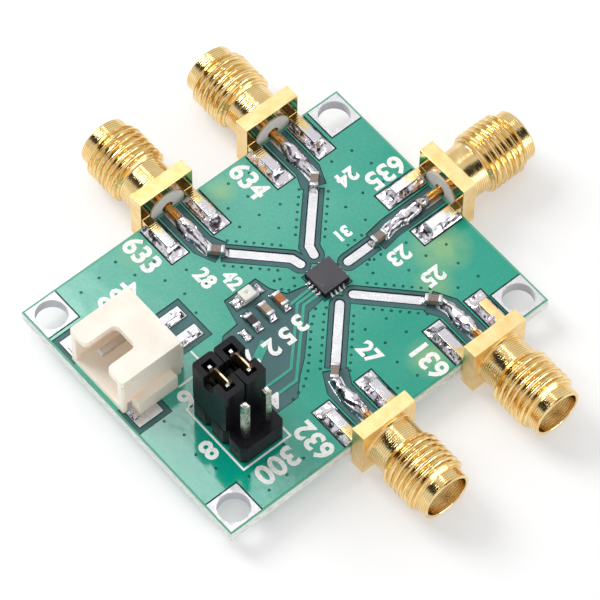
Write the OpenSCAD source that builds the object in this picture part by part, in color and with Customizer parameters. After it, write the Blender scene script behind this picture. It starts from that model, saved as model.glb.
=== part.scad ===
// Four-way radio frequency switch board with five coaxial edge jacks.
// X runs from the power socket's edge to the common jack's edge, Y from jacks 1 and 2
// to jacks 3 and 4. The origin is on the board's underside, in the middle of its four holes.

/* [Board] */
// Length of the board along X
board_l = 38.9; // [38.5:0.1:46]
// Width of the board along Y
board_w = 30.8; // [30.6:0.1:38]
// Thickness of the glass-epoxy laminate
board_t = 1.2; // [0.8:0.1:1.6]
// Thickness of the copper with its coating, on either face
copper_t = 0.05; // [0.03:0.01:0.1]
// Diameter of a corner hole
hole_d = 3.2; // [2.2:0.1:3.2]
// Distance from a corner hole's centre to each board edge
hole_inset = 2; // [2:0.05:2.3]
// Side of the bare tinned square round a corner hole
corner_pad_w = 3.6; // [3.5:0.05:3.8]
// Bare strip between the copper plane and the board's edge
plane_margin = 0.22; // [0.1:0.02:0.3]
// Bare gap between the copper plane and a tinned pad
pad_gap = 0.16; // [0.1:0.02:0.3]

/* [Signal strips] */
// Width of a tinned strip between the chip and a capacitor
strip_w = 0.85; // [0.6:0.05:1]
// Bare gap on each side of a strip
strip_gap = 0.62; // [0.4:0.02:0.7]
// Width of the tinned pad under a jack's centre pin
launch_w = 1.3; // [1:0.05:1.5]
// Width of a tinned pad under a jack's leg
leg_pad_w = 2; // [1.4:0.05:2.2]
// Length of a tinned pad under a jack's leg
leg_pad_l = 4.95; // [4:0.05:5.5]
// Width of a control track
track_w = 0.3; // [0.2:0.05:0.35]
// Diameter of a plated through hole between the planes
via_d = 0.3; // [0.2:0.05:0.4]
// Distance between the holes in a row beside a strip
via_pitch = 0.85; // [0.7:0.05:1.4]

/* [Chip] */
// Side of the square switch chip
chip_w = 3; // [2.8:0.1:3.2]
// Height of the switch chip
chip_h = 0.85; // [0.6:0.05:1]
// Distance from the chip's centre to the board's edge at the common jack
chip_inset = 14.55; // [14:0.05:15.4]
// Chip centre along Y
chip_y = -0.27; // [-0.8:0.01:0.4]
// Distance between two of the chip's terminals
chip_pitch = 0.5; // [0.45:0.05:0.55]
// Width of a chip terminal
terminal_w = 0.25; // [0.15:0.01:0.28]
// How far a chip terminal shows outside the moulding
terminal_out = 0.08; // [0.04:0.01:0.12]

/* [Small parts] */
// Length of a capacitor or of the resistor
small_l = 1.6; // [1.4:0.05:1.7]
// Width of a capacitor or of the resistor
small_w = 0.8; // [0.7:0.05:0.85]
// Height of a capacitor
capacitor_h = 0.8; // [0.5:0.05:1]
// Height of the resistor
resistor_h = 0.5; // [0.35:0.05:0.6]
// Length of the metal end on a small part
end_l = 0.32; // [0.2:0.02:0.4]
// Thickness of the metal round an end
end_t = 0.03; // [0.02:0.01:0.05]
// Distance from the chip's centre back to the resistor, the first of three parts in a row
row_setback = 8.4; // [8.2:0.05:8.9]
// Distance between the three parts in a row
row_pitch = 1.72; // [1.5:0.02:1.8]
// Y of the three parts in a row
row_y = 0.65; // [0.4:0.05:0.8]
// Length of the lamp
led_l = 2; // [1.8:0.05:2.2]
// Width of the lamp
led_w = 1.25; // [1:0.05:1.4]
// Height of the lamp
led_h = 0.8; // [0.6:0.05:1]
// Distance from the chip's centre back to the lamp
led_setback = 7; // [6.7:0.05:7.3]
// Y of the lamp
led_y = 3.1; // [2.9:0.05:3.4]

/* [Coaxial jacks] */
// Side of the square flange
flange_w = 6.35; // [6:0.05:7]
// Thickness of the flange
flange_t = 1.6; // [1.2:0.1:2]
// Diameter of the plain neck behind the thread
neck_d = 5.3; // [5:0.05:5.8]
// Length of the neck from the flange to the thread
neck_l = 2.35; // [1.5:0.05:3]
// Outer diameter of the thread, a quarter inch
thread_d = 6.35; // [6.3:0.05:6.4]
// Length of the thread
thread_l = 4.65; // [4:0.05:6]
// Distance between two crests of the thread, at 36 to the inch
thread_pitch = 0.7056; // [0.7:0.0001:0.71]
// Width of the flat that turning and plating leave on each crest of the thread
thread_crest_w = 0.22; // [0.15:0.01:0.25]
// Diameter of the plain lip in front of the thread
lip_d = 5.35; // [5.2:0.05:5.5]
// Length of the plain lip
lip_l = 1.2; // [0.6:0.05:1.6]
// Diameter of the mouth that takes the plug
mouth_d = 4.6; // [4.5:0.02:4.7]
// Depth of the mouth down to the insulator
mouth_depth = 1.9; // [1.6:0.05:2.2]
// Diameter of the white insulator
insulator_d = 4.1; // [4:0.02:4.2]
// Diameter of the centre contact in the insulator
contact_d = 1.27; // [1.2:0.01:1.4]
// Diameter of the hole in the centre contact
socket_d = 0.94; // [0.9:0.01:1]
// Depth of the hole in the centre contact
socket_depth = 2.6; // [2:0.1:3]
// Diameter of the centre pin on the board
pin_d = 0.8; // [0.6:0.05:1]
// Length of the centre pin on the board
pin_l = 3.6; // [2.5:0.1:4]
// Width of a leg
leg_w = 0.95; // [0.7:0.05:1.2]
// Height of a leg
leg_h = 0.9; // [0.6:0.05:1]
// Length of a leg from the flange
leg_l = 3.75; // [3:0.05:4.5]
// Distance between the two legs on one face of the board
leg_pitch = 5.15; // [4.8:0.05:5.2]
// Gap between the flange and the board's edge
edge_gap = 0.15; // [0.05:0.05:0.2]
// Distance between jacks 1 and 2
near_pitch = 13.6; // [13.4:0.1:14]
// Distance between jacks 3 and 4
far_pitch = 13.1; // [12.8:0.1:13.6]
// Y of the common jack
common_y = 0.25; // [0:0.05:0.5]

/* [Power socket] */
// Depth of the housing along X
socket_l = 7.05; // [6.6:0.05:7.5]
// Width of the housing along Y
socket_w = 7.8; // [7.4:0.05:8.2]
// Height of the housing
socket_h = 5.5; // [5:0.1:6]
// Distance from the housing's centre to the board's edge at jacks 3 and 4
socket_inset = 10.8; // [10.6:0.05:11]
// Gap between the housing's front and the board's edge
socket_setback = 0.45; // [0.2:0.05:0.8]
// Wall round the housing's mouth
socket_wall = 0.8; // [0.6:0.05:1]
// Thickness of the housing's back wall
socket_back = 1.3; // [1:0.05:1.6]
// Width of the keyway in the housing's top
keyway_w = 3.1; // [2.6:0.1:3.4]
// Length of the keyway from the front
keyway_l = 3.6; // [3:0.1:4.4]
// Distance between the two contacts
contact_pitch = 2.5; // [2.3:0.1:2.6]
// Side of a square contact
contact_w = 0.64; // [0.5:0.02:0.7]
// Height of the contacts' centre over the board
contact_z = 2.75; // [2.4:0.05:3.1]
// How far a side wing stands out
wing_w = 1; // [0.6:0.05:1.1]
// Height of a side wing
wing_h = 2; // [1.6:0.05:2.4]

/* [Pin header and jumper caps] */
// Distance between the header's pins
pitch = 2.54; // [2.54:0.01:2.6]
// Height of the header's base
base_h = 2.54; // [2:0.02:3]
// Distance from the header's centre to the board's edge on the socket side
header_inset_x = 8.02; // [7:0.02:8.2]
// Distance from the header's centre to the board's edge at jacks 1 and 2
header_inset_y = 8.57; // [7:0.02:8.8]
// Side of a square header pin
post_w = 0.64; // [0.6:0.01:0.66]
// Height of the header pins over their base
post_h = 5.95; // [5.5:0.05:6.2]
// Length of the header pins' tails under the board
tail_l = 1.5; // [0.8:0.1:1.6]
// Height of a jumper cap
cap_h = 6; // [5.9:0.1:7]
// Gap between two neighbouring jumper caps
cap_gap = 0.1; // [0.06:0.02:0.2]
// Gap between a jumper cap and the header's base
cap_seat = 0.1; // [0.05:0.05:0.2]
// Thickness of the metal clip in a jumper cap
clip_t = 0.18; // [0.12:0.02:0.22]
// Running clearance between the clip and a pin
clip_clearance = 0.06; // [0.04:0.01:0.08]
// Depth of the cross cut in a jumper cap's top
cross_depth = 1.7; // [1:0.1:2.5]

/* [Hidden] */
$fn = 48;
// A small overlap that lets cuts run clean through a face, and how far past it they run
eps = 0.02;
past = 1;
top_z = board_t;
pad_z = board_t + copper_t;
axis_z = pad_z + pin_d / 2;
edge_x = board_l / 2;
edge_y = board_w / 2;
chip_x = edge_x - chip_inset;
row_x = chip_x - row_setback;
led_x = chip_x - led_setback;
socket_y = edge_y - socket_inset;
jack_l = flange_t + neck_l + thread_l + lip_l;
header_x = -edge_x + header_inset_x;
header_y = -edge_y + header_inset_y;
socket_front = -edge_x + socket_setback;
socket_rear = socket_front + socket_l;
base_top = top_z + base_h;
post_top = base_top + post_h;
cap_z = base_top + cap_seat;
cap_w = pitch - cap_gap;
cap_l = 2 * pitch - cap_gap;
channel_w = strip_w + 2 * strip_gap;
launch_channel_w = launch_w + 2 * strip_gap;
clip_in = post_w / 2 + clip_clearance;
clip_out = clip_in + clip_t;

GOLD = "#d9a640";
TIN = "#c9cacc";
MASK = "#3faf93";
BARE_MASK = "#5c7f80";
CERAMIC = "#8d7b6f";
BLACK_PLASTIC = "#33323a";

// Each port: its side of the chip along X and Y. Port 5 is the common one, straight ahead on X.
PORT_SIDES = [[1, -1], [-1, -1], [-1, 1], [1, 1], [1, 0]];
COMMON = 4;
PORTS = [0, 1, 2, 3, 4];

function is_common(i) = i == COMMON;
function side(i) = PORT_SIDES[i];
// The direction in which a jack points
function heading(i) = is_common(i) ? 0 : side(i)[1] * 90;
// The point on the board's edge where a jack's axis crosses it
function port_point(i) = is_common(i) ? [edge_x, common_y]
    : [chip_x + side(i)[0] * (side(i)[1] < 0 ? near_pitch : far_pitch) / 2, side(i)[1] * edge_y];
function toward(angle) = [cos(angle), sin(angle)];

// How far along the strip's direction the capacitors sit from the chip's centre
DIAGONAL_REACH = 6.1;
COMMON_REACH = 6.7;
CAPACITOR_Y_FAR = 8.75;
CAPACITOR_Y_NEAR = -8.6;
function capacitor_point(i) = is_common(i) ? [chip_x + COMMON_REACH, common_y - 0.3]
    : [chip_x + side(i)[0] * DIAGONAL_REACH, side(i)[1] > 0 ? CAPACITOR_Y_FAR : CAPACITOR_Y_NEAR];

// A strip starts beside the chip's terminals, with a short straight run on the far side
STRIP_START_X = 0.83;
STRIP_START_Y = chip_w / 2 + 1.35;
function strip_start(i) = is_common(i) ? [chip_x + chip_w / 2 + 1.3, chip_y + 0.2]
    : [chip_x + side(i)[0] * STRIP_START_X, chip_y + side(i)[1] * STRIP_START_Y];
function strip_bend(i) = strip_start(i) + [side(i)[0] * 0.25, 1.0];
function strip_from(i) = side(i)[1] > 0 ? strip_bend(i) : strip_start(i);
function run_direction(i) = unit(capacitor_point(i) - strip_from(i));
function run_angle(i) = atan2(run_direction(i)[1], run_direction(i)[0]);
function strip_end(i) = capacitor_point(i) - run_direction(i) * (small_l / 2 - end_l + 0.05);
function strip_points(i) = side(i)[1] > 0 ? [strip_start(i), strip_bend(i), strip_end(i)]
    : [strip_start(i), strip_end(i)];
// The launch pad leaves the capacitor's outer end and turns onto the jack's axis
function launch_start(i) = capacitor_point(i) + run_direction(i) * (small_l / 2 - end_l + 0.05);
function launch_bend(i) = is_common(i) ? [launch_start(i)[0] + 1.1, common_y]
    : [port_point(i)[0], launch_start(i)[1] + side(i)[1] * 1.15];
function launch_end(i) = port_point(i) - toward(heading(i)) * plane_margin;
function launch_points(i) = [launch_start(i), launch_bend(i), launch_end(i)];

function unit(v) = v / norm(v);
function left_of(a, b) = let (d = unit(b - a)) [-d[1], d[0]];
function side_point(pts, i, offset_w) =
    let (before = i > 0 ? left_of(pts[i - 1], pts[i]) : left_of(pts[0], pts[1]),
         after = i < len(pts) - 1 ? left_of(pts[i], pts[i + 1]) : before,
         middle = unit(before + after))
    pts[i] + offset_w * middle / (middle * before);
function half_round(p, from_angle, r) =
    [for (step = [1:7]) p + r * toward(from_angle - 180 * step / 8)];
// The outline of a track of one width along its points, with its start round or square
function track_outline(pts, w, round_start) =
    let (last = len(pts) - 1,
         start_left = left_of(pts[0], pts[1]),
         left_side = [for (i = [0:last]) side_point(pts, i, w / 2)],
         right_side = [for (i = [last:-1:0]) side_point(pts, i, -w / 2)],
         back = atan2(-start_left[1], -start_left[0]))
    concat(left_side, right_side, round_start ? half_round(pts[0], back, w / 2) : []);
module track(pts, w, round_start = false) {
    polygon(track_outline(pts, w, round_start));
}

// A rectangle with round corners, as one outline
function round_corner(centre, r, from_angle) =
    [for (step = [0:4]) centre + r * toward(from_angle + 90 * step / 4)];
function round_rect(l, w, r) = concat(
    round_corner([l / 2 - r, w / 2 - r], r, 0), round_corner([-l / 2 + r, w / 2 - r], r, 90),
    round_corner([-l / 2 + r, -w / 2 + r], r, 180), round_corner([l / 2 - r, -w / 2 + r], r, 270));
module centred_rect(centre, l, w) {
    translate([centre[0] - l / 2, centre[1] - w / 2])
        square([l, w]);
}
module centred_box(centre, size) {
    translate([centre[0] - size[0] / 2, centre[1] - size[1] / 2, centre[2]])
        cube(size);
}

HOLES = [for (sx = [-1, 1], sy = [-1, 1]) [sx * (edge_x - hole_inset), sy * (edge_y - hole_inset)]];
// The header's pins: 1 to 3 in the outer row and 4 to 6 in the inner one, from +Y to -Y
POSTS = [for (row = [-1, 1], column = [1, 0, -1])
    [header_x + row * pitch / 2, header_y + column * pitch]];
POST_HOLE_D = 1.02;
POST_PAD_D = 1.7;

// Circuit board: laminate with four corner holes and six holes for the header's pins
module circuit_board() {
    color(BARE_MASK)
        difference() {
            translate([-edge_x, -edge_y, 0])
                cube([board_l, board_w, board_t]);
            for (p = HOLES)
                translate([p[0], p[1], -past])
                    cylinder(d = hole_d, h = board_t + 2 * past);
            for (p = POSTS)
                translate([p[0], p[1], -past])
                    cylinder(d = POST_HOLE_D, h = board_t + 2 * past, $fn = 24);
        }
}

// Bare area round the small parts and the control tracks
ROW_END_X = row_x + 2 * row_pitch;
LAMP_AREA_TOP = led_y + led_w / 2 + 0.45;
PRINT_CLEAR_X = header_x + pitch + 0.56;
CONTROL_AREA = [
    [chip_x - chip_w / 2 - 0.2, chip_y + 0.75], [ROW_END_X + 1.1, row_y + 0.35],
    [ROW_END_X + 0.2, led_y - 0.6], [led_x + led_l / 2 + 0.9, LAMP_AREA_TOP],
    [led_x - led_l / 2 - 1.0, LAMP_AREA_TOP], [row_x - 1.25, row_y + 0.8],
    [row_x - 3.1, row_y + 0.65], [PRINT_CLEAR_X, row_y - 1],
    [PRINT_CLEAR_X, header_y - 1.55], [header_x + 6, header_y - 1.55],
    [header_x + 7.3, header_y - 0.15], [chip_x - 7.1, chip_y - 5.2],
    [chip_x - 3.6, chip_y - 1.68], [chip_x - chip_w / 2 - 0.2, chip_y - 1.45]];

// Narrow tracks from the chip to the two middle pins and to the small parts. Each runs level
// from a chip terminal, then down a 45 degree slope to the level of its pin.
POST_PAD_REACH = POST_PAD_D / 2 + 0.01;
TRACK_START_X = chip_x - chip_w / 2 - 0.45;
SLOPE_START_X = chip_x - 3.8;
function sloped_track(k, slope_x, y) = let (start_y = chip_y + k * chip_pitch)
    [[TRACK_START_X, start_y], [slope_x, start_y], [slope_x - (start_y - y), y]];
MIDDLE_PIN_Y = POSTS[4][1];
BETWEEN_PINS_Y = header_y + pitch / 2;
TURN_TO_PIN = 0.62;
CONTROL_TRACKS = [
    concat(sloped_track(-1.5, SLOPE_START_X + 0.3, MIDDLE_PIN_Y),
        [[POSTS[4][0] + POST_PAD_REACH, MIDDLE_PIN_Y]]),
    concat(sloped_track(-0.5, SLOPE_START_X - 0.05, BETWEEN_PINS_Y),
        [[header_x, BETWEEN_PINS_Y], POSTS[1] + [TURN_TO_PIN, TURN_TO_PIN]]),
    [[TRACK_START_X, chip_y + chip_pitch / 2],
     [ROW_END_X + small_w / 2 + 0.02, chip_y + 0.1]]];
// The wide track that feeds the small parts from the end pin of the inner row
SUPPLY_TRACK = [[row_x - 0.4, row_y - 2.4], POSTS[3] + [POST_PAD_REACH + 0.6, 0],
    POSTS[3] + [POST_PAD_REACH, 0]];
SUPPLY_TRACK_W = 0.9;
TRACK_GAP = 0.2;

module post_clearance(d) {
    for (p = POSTS)
        translate(p)
            circle(d = d, $fn = 24);
}
module corner_cuts() {
    for (p = HOLES)
        centred_rect(p, corner_pad_w + 2 * pad_gap, corner_pad_w + 2 * pad_gap);
}
// The two pads under one jack's legs, grown by a margin
module leg_pad_rects(i, margin) {
    translate(port_point(i))
        rotate(heading(i))
            for (s = [-1, 1])
                translate([-leg_pad_l - margin, s * leg_pitch / 2 - leg_pad_w / 2 - margin])
                    square([leg_pad_l + margin - plane_margin, leg_pad_w + 2 * margin]);
}

// The pads of the power socket: two behind it for the contacts and one under each side wing
SOCKET_TAIL_PAD = [2.6, 1.4];
SOCKET_TAIL_PAD_X = socket_rear + 2.85;
ANCHOR_PAD = [2.85, 2.1];
ANCHOR_PAD_X = socket_front + 1.65;
function tail_pad_point(s) = [SOCKET_TAIL_PAD_X, socket_y + s * contact_pitch / 2];
function anchor_pad_point(s) = [ANCHOR_PAD_X, socket_y + s * (socket_w / 2 + wing_w)];
module socket_pad_rects(margin) {
    for (s = [-1, 1]) {
        centred_rect(tail_pad_point(s), SOCKET_TAIL_PAD[0] + 2 * margin,
            SOCKET_TAIL_PAD[1] + 2 * margin);
        centred_rect(anchor_pad_point(s), ANCHOR_PAD[0] + 2 * margin, ANCHOR_PAD[1] + 2 * margin);
    }
}

// Rows of small plated holes beside a strip, and a loose field of them elsewhere
VIA_ROW_OFFSET = channel_w / 2 + 0.35;
function row_length(i) = norm(capacitor_point(i) - strip_from(i));
function via_row(i, s) =
    let (count = floor((row_length(i) - 1.4) / via_pitch), across = [-run_direction(i)[1],
         run_direction(i)[0]])
    [for (k = [0:count]) strip_from(i) + run_direction(i) * (1.2 + k * via_pitch)
        + across * s * VIA_ROW_OFFSET];
VIA_FIELD_PITCH = 2.3;
VIA_FIELD = [for (kx = [-7:7], ky = [-6:6])
    [kx * VIA_FIELD_PITCH + 0.5 * (ky % 2), ky * VIA_FIELD_PITCH + 0.3 * sin(kx * 77)]];
function segment_distance(p, a, b) =
    let (t = max(0, min(1, (p - a) * (b - a) / ((b - a) * (b - a))))) norm(p - a - t * (b - a));
function clear_of_strips(p, gap) = min([for (i = PORTS)
    min(segment_distance(p, strip_start(i), strip_from(i)),
        segment_distance(p, strip_from(i), capacitor_point(i)),
        segment_distance(p, capacitor_point(i), launch_bend(i)))]) > gap;
function clear_of_edge(p) = abs(p[0]) < edge_x - 0.9 && abs(p[1]) < edge_y - 0.9;
function clear_of_corners(p) = min([for (h = HOLES)
    max(abs(p[0] - h[0]), abs(p[1] - h[1]))]) > corner_pad_w / 2 + 0.5;
function clear_of_jacks(p) = min([for (i = PORTS)
    let (d = p - port_point(i), u = toward(heading(i)), along = -(d * u),
         across = abs(d[0] * u[1] - d[1] * u[0]))
    max(along - leg_pad_l, across - (leg_pitch + leg_pad_w) / 2)]) > 0.5;
function clear_of_parts(p) =
    !(p[0] > socket_front - 1 && p[0] < SOCKET_TAIL_PAD_X + 2.2 && abs(p[1] - socket_y) < 6.4)
    && !(abs(p[0] - header_x) < pitch + 0.6 && abs(p[1] - header_y) < 1.5 * pitch + 0.6)
    && !(abs(p[0] - chip_x) < chip_w / 2 + 1 && abs(p[1] - chip_y) < chip_w / 2 + 1)
    && !(p[0] > header_x && p[0] < chip_x - 1.2 && p[1] < LAMP_AREA_TOP + 0.5
         && p[1] > max(header_y - pitch - 0.6, chip_y - 3.2 + (p[0] - chip_x + 3.6)));
function is_clear(p) = clear_of_strips(p, channel_w / 2 + 0.95) && clear_of_edge(p)
    && clear_of_corners(p) && clear_of_jacks(p) && clear_of_parts(p);
VIAS = concat(
    [for (i = PORTS, s = [-1, 1], p = via_row(i, s))
        if (clear_of_strips(p, VIA_ROW_OFFSET - 0.05) && clear_of_jacks(p)) p],
    [for (p = VIA_FIELD) if (is_clear(p)) p]);

// Upper ground plane: coated copper with bare channels for the strips and the tracks
module ground_plane_top() {
    color(MASK)
        translate([0, 0, top_z])
            linear_extrude(copper_t)
                difference() {
                    centred_rect([0, 0], board_l - 2 * plane_margin, board_w - 2 * plane_margin);
                    corner_cuts();
                    for (i = PORTS) {
                        leg_pad_rects(i, pad_gap);
                        track(strip_points(i), channel_w, true);
                        track([capacitor_point(i) - run_direction(i) * 0.5, launch_bend(i),
                            port_point(i)], launch_channel_w);
                    }
                    polygon(CONTROL_AREA);
                    for (pts = CONTROL_TRACKS)
                        track(pts, track_w + 2 * TRACK_GAP);
                    track(SUPPLY_TRACK, SUPPLY_TRACK_W + 2 * TRACK_GAP);
                    socket_pad_rects(strip_gap);
                    centred_rect([chip_x, chip_y], chip_w + 0.5, chip_w + 0.5);
                    post_clearance(POST_PAD_D + 0.4);
                    for (p = VIAS)
                        translate(p)
                            circle(d = via_d, $fn = 16);
                }
}

// Lower ground plane: coated copper, bare round the corner pads, the leg pads and the pins
module ground_plane_bottom() {
    color(MASK)
        translate([0, 0, -copper_t])
            linear_extrude(copper_t)
                difference() {
                    centred_rect([0, 0], board_l - 2 * plane_margin, board_w - 2 * plane_margin);
                    corner_cuts();
                    for (i = PORTS)
                        leg_pad_rects(i, pad_gap);
                    post_clearance(POST_PAD_D + 0.4);
                }
}

// Control tracks: coated copper from the chip to the header and to the small parts
module control_tracks() {
    color(MASK)
        translate([0, 0, top_z])
            linear_extrude(copper_t) {
                for (pts = CONTROL_TRACKS)
                    track(pts, track_w, true);
                track(SUPPLY_TRACK, SUPPLY_TRACK_W);
            }
}

// Tinned squares round the corner holes, on both faces
module corner_pads() {
    color(TIN)
        for (z = [top_z, -copper_t], p = HOLES)
            translate([0, 0, z])
                linear_extrude(copper_t)
                    difference() {
                        centred_rect(p, corner_pad_w, corner_pad_w);
                        translate(p)
                            circle(d = hole_d);
                    }
}

// Tinned pads under the jacks' legs, on both faces
module leg_pads() {
    color(TIN)
        for (z = [top_z, -copper_t], i = PORTS)
            translate([0, 0, z])
                linear_extrude(copper_t)
                    leg_pad_rects(i, 0);
}

// Tinned strips from the chip to the capacitors
module signal_strips() {
    color(TIN)
        translate([0, 0, top_z])
            linear_extrude(copper_t)
                for (i = PORTS)
                    track(strip_points(i), strip_w, true);
}

// Tinned pads from the capacitors to the jacks' centre pins
module launch_pads() {
    color(TIN)
        translate([0, 0, top_z])
            linear_extrude(copper_t)
                for (i = PORTS)
                    track(launch_points(i), launch_w);
}

// Places of the small parts in a row: the resistor and two capacitors
function row_point(k) = [row_x + k * row_pitch, row_y];
SMALL_PAD_L = 0.75;
SMALL_PAD_SHIFT = small_l / 2 + 0.05;
LED_PAD_W = led_w - 0.1;

// Tinned pads of the chip, the small parts, the power socket and the header
module component_pads() {
    color(TIN) {
        translate([0, 0, top_z])
            linear_extrude(copper_t) {
                for (k = [0:2], s = [-1, 1])
                    centred_rect(row_point(k) + [0, s * SMALL_PAD_SHIFT], small_w, SMALL_PAD_L);
                for (s = [-1, 1])
                    centred_rect([led_x + s * (led_l / 2 + 0.25), led_y], 0.9, LED_PAD_W);
                // A spare pad between the resistor and the header
                centred_rect(row_point(0) - [1.38, 0.7], 0.65, 1.3);
                socket_pad_rects(0);
                centred_rect([chip_x, chip_y], chip_w - 1.3, chip_w - 1.3);
                for (quarter = [0:3], k = [-1.5:1.5])
                    translate([chip_x, chip_y])
                        rotate(90 * quarter)
                            centred_rect([chip_w / 2 - 0.05, k * chip_pitch], 0.55, terminal_w);
            }
        for (z = [top_z, -copper_t], p = POSTS)
            translate([p[0], p[1], z])
                linear_extrude(copper_t)
                    difference() {
                        circle(d = POST_PAD_D, $fn = 32);
                        circle(d = POST_HOLE_D, $fn = 24);
                    }
    }
}

// Printed outlines of the header and the power socket, on the bare coating and the copper
PRINT_T = 0.03;
PRINT_W = 0.2;
HEADER_PRINT = [2 * pitch + 0.35, 3 * pitch + 0.45];
HEADER_SIZE = [2 * pitch, 3 * pitch];
SOCKET_MARK = [3.4, 2.35];
module header_outline() {
    difference() {
        centred_rect([header_x, header_y], HEADER_PRINT[0] + 2 * PRINT_W,
            HEADER_PRINT[1] + 2 * PRINT_W);
        centred_rect([header_x, header_y], HEADER_PRINT[0], HEADER_PRINT[1]);
        // The inner long side is open where the tracks pass
        translate([header_x + pitch, header_y - pitch / 2])
            square([pitch, 2 * pitch]);
    }
}
// A corner mark behind the power socket
module socket_mark() {
    translate([socket_rear + 1.9, socket_y - socket_w / 2 - 1.15]) {
        square([PRINT_W, SOCKET_MARK[1]]);
        translate([PRINT_W - SOCKET_MARK[0], 0])
            square([SOCKET_MARK[0], PRINT_W]);
    }
}
module silkscreen() {
    color("white")
        translate([0, 0, pad_z])
            linear_extrude(PRINT_T) {
                // Each mark keeps clear of the other part's moulding
                difference() {
                    header_outline();
                    centred_rect([(socket_front + socket_rear) / 2, socket_y],
                        socket_l + 2 * PRINT_W, socket_w + 2 * (wing_w + PRINT_W));
                }
                difference() {
                    socket_mark();
                    centred_rect([header_x, header_y], HEADER_SIZE[0] + 2 * PRINT_W,
                        HEADER_SIZE[1] + 2 * PRINT_W);
                }
            }
}

// Switch chip: a square moulded body, notched along its lower edges for the terminals
TERMINAL_H = 0.2;
TERMINAL_L = 0.4;
module terminal_row(extra) {
    for (quarter = [0:3], k = [-1.5:1.5])
        translate([chip_x, chip_y, pad_z])
            rotate(90 * quarter)
                translate([chip_w / 2 - TERMINAL_L, k * chip_pitch - terminal_w / 2, 0])
                    cube([TERMINAL_L + extra, terminal_w, TERMINAL_H]);
}
module switch_chip() {
    color(BLACK_PLASTIC)
        difference() {
            centred_box([chip_x, chip_y, pad_z], [chip_w, chip_w, chip_h]);
            terminal_row(1);
            // A round dimple marks the first terminal
            translate([chip_x - chip_w / 2 + 0.5, chip_y - chip_w / 2 + 0.5,
                pad_z + chip_h - 0.04])
                cylinder(d = 0.35, h = 1, $fn = 24);
        }
}
module chip_terminals() {
    color(TIN)
        terminal_row(terminal_out);
}

// A small part lies along X at the origin; its metal ends wrap round its body
module small_body(h) {
    translate([0, 0, pad_z])
        centred_box([0, 0, end_t], [small_l - 2 * end_t, small_w - 2 * end_t, h - 2 * end_t]);
}
module small_ends(h) {
    difference() {
        for (s = [-1, 1])
            centred_box([s * (small_l - end_l) / 2, 0, pad_z], [end_l, small_w, h]);
        small_body(h);
    }
}
module at_capacitor(i) {
    translate(capacitor_point(i))
        rotate(run_angle(i))
            children();
}
module at_row(k) {
    translate(row_point(k))
        rotate(90)
            children();
}

// Capacitor between a strip and a launch pad
module blocking_capacitor(i) {
    color(CERAMIC)
        at_capacitor(i)
            small_body(capacitor_h);
}
module blocking_capacitor_ends() {
    color(TIN)
        for (i = PORTS)
            at_capacitor(i)
                small_ends(capacitor_h);
}
module supply_capacitor_1() {
    color("#a9663d")
        at_row(2)
            small_body(capacitor_h);
}
module supply_capacitor_2() {
    color("#a8917f")
        at_row(1)
            small_body(capacitor_h);
}
module supply_capacitor_ends() {
    color(TIN)
        for (k = [1, 2])
            at_row(k)
                small_ends(capacitor_h);
}
module lamp_resistor() {
    color("#2b2b2d")
        at_row(0)
            small_body(resistor_h);
}
module lamp_resistor_ends() {
    color(TIN)
        at_row(0)
            small_ends(resistor_h);
}

// Lamp: a base plate with half-round end notches, and a lens block on it
LED_BASE_H = 0.3;
LED_NOTCH_R = 0.28;
LENS_L = led_l - 0.6;
module status_lamp() {
    color("#f1eee4")
        translate([led_x, led_y, pad_z + LED_BASE_H])
            difference() {
                linear_extrude(led_h - LED_BASE_H)
                    polygon(round_rect(LENS_L, led_w, 0.08));
                translate([0, 0, led_h - LED_BASE_H - 0.06])
                    cylinder(d = 0.5, h = 1, $fn = 32);
            }
}
module status_lamp_base() {
    color("#d9d6cc")
        translate([led_x, led_y, pad_z])
            linear_extrude(LED_BASE_H)
                difference() {
                    centred_rect([0, 0], led_l, led_w);
                    for (s = [-1, 1])
                        translate([s * led_l / 2, 0])
                            circle(r = LED_NOTCH_R, $fn = 24);
                }
}

// A jack is made along Z with its flange's back at zero, then turned onto its port
module at_port(i) {
    translate([port_point(i)[0], port_point(i)[1], axis_z])
        rotate([0, 0, heading(i)])
            translate([edge_gap, 0, 0])
                rotate([90, 0, 90])
                    children();
}
LIP_CHAMFER = 0.15;
FLANGE_BEVEL = 0.12;
INSULATOR_PROUD = 0.1;
MOUTH_Z = jack_l - mouth_depth;
THREAD_Z = flange_t + neck_l;
LIP_Z = THREAD_Z + thread_l;
// Local height of the board's lower copper under the jack's axis
UNDERSIDE = -(axis_z + copper_t);

// The thread is drawn as ring ridges with flat crests, and flanks at 60 degrees to each other.
// Both end ridges are cut by the thread's ends.
FLANK_ANGLE = 30;
THREAD_RUN = 0.1;
THREAD_H = 0.54 * thread_pitch;
FLANK_L = THREAD_H * tan(FLANK_ANGLE);
CREST_R = thread_d / 2;
ROOT_R = CREST_R - THREAD_H;
RIDGES = floor((thread_l - thread_crest_w - THREAD_RUN) / thread_pitch) + 1;
FIRST_CREST = (thread_l - (RIDGES - 1) * thread_pitch) / 2;
END_R = max(ROOT_R, CREST_R - (FIRST_CREST - thread_crest_w / 2) / tan(FLANK_ANGLE));
RIDGE = [[ROOT_R, -thread_crest_w / 2 - FLANK_L], [CREST_R, -thread_crest_w / 2],
    [CREST_R, thread_crest_w / 2], [ROOT_R, thread_crest_w / 2 + FLANK_L]];
function crest_z(k) = THREAD_Z + FIRST_CREST + k * thread_pitch;
function thread_points() = concat([[END_R, THREAD_Z]],
    [for (k = [0:RIDGES - 1], corner = RIDGE)
        let (z = crest_z(k) + corner[1])
        if (z > THREAD_Z && z < LIP_Z) [corner[0], z]],
    [[END_R, LIP_Z]]);

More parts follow.
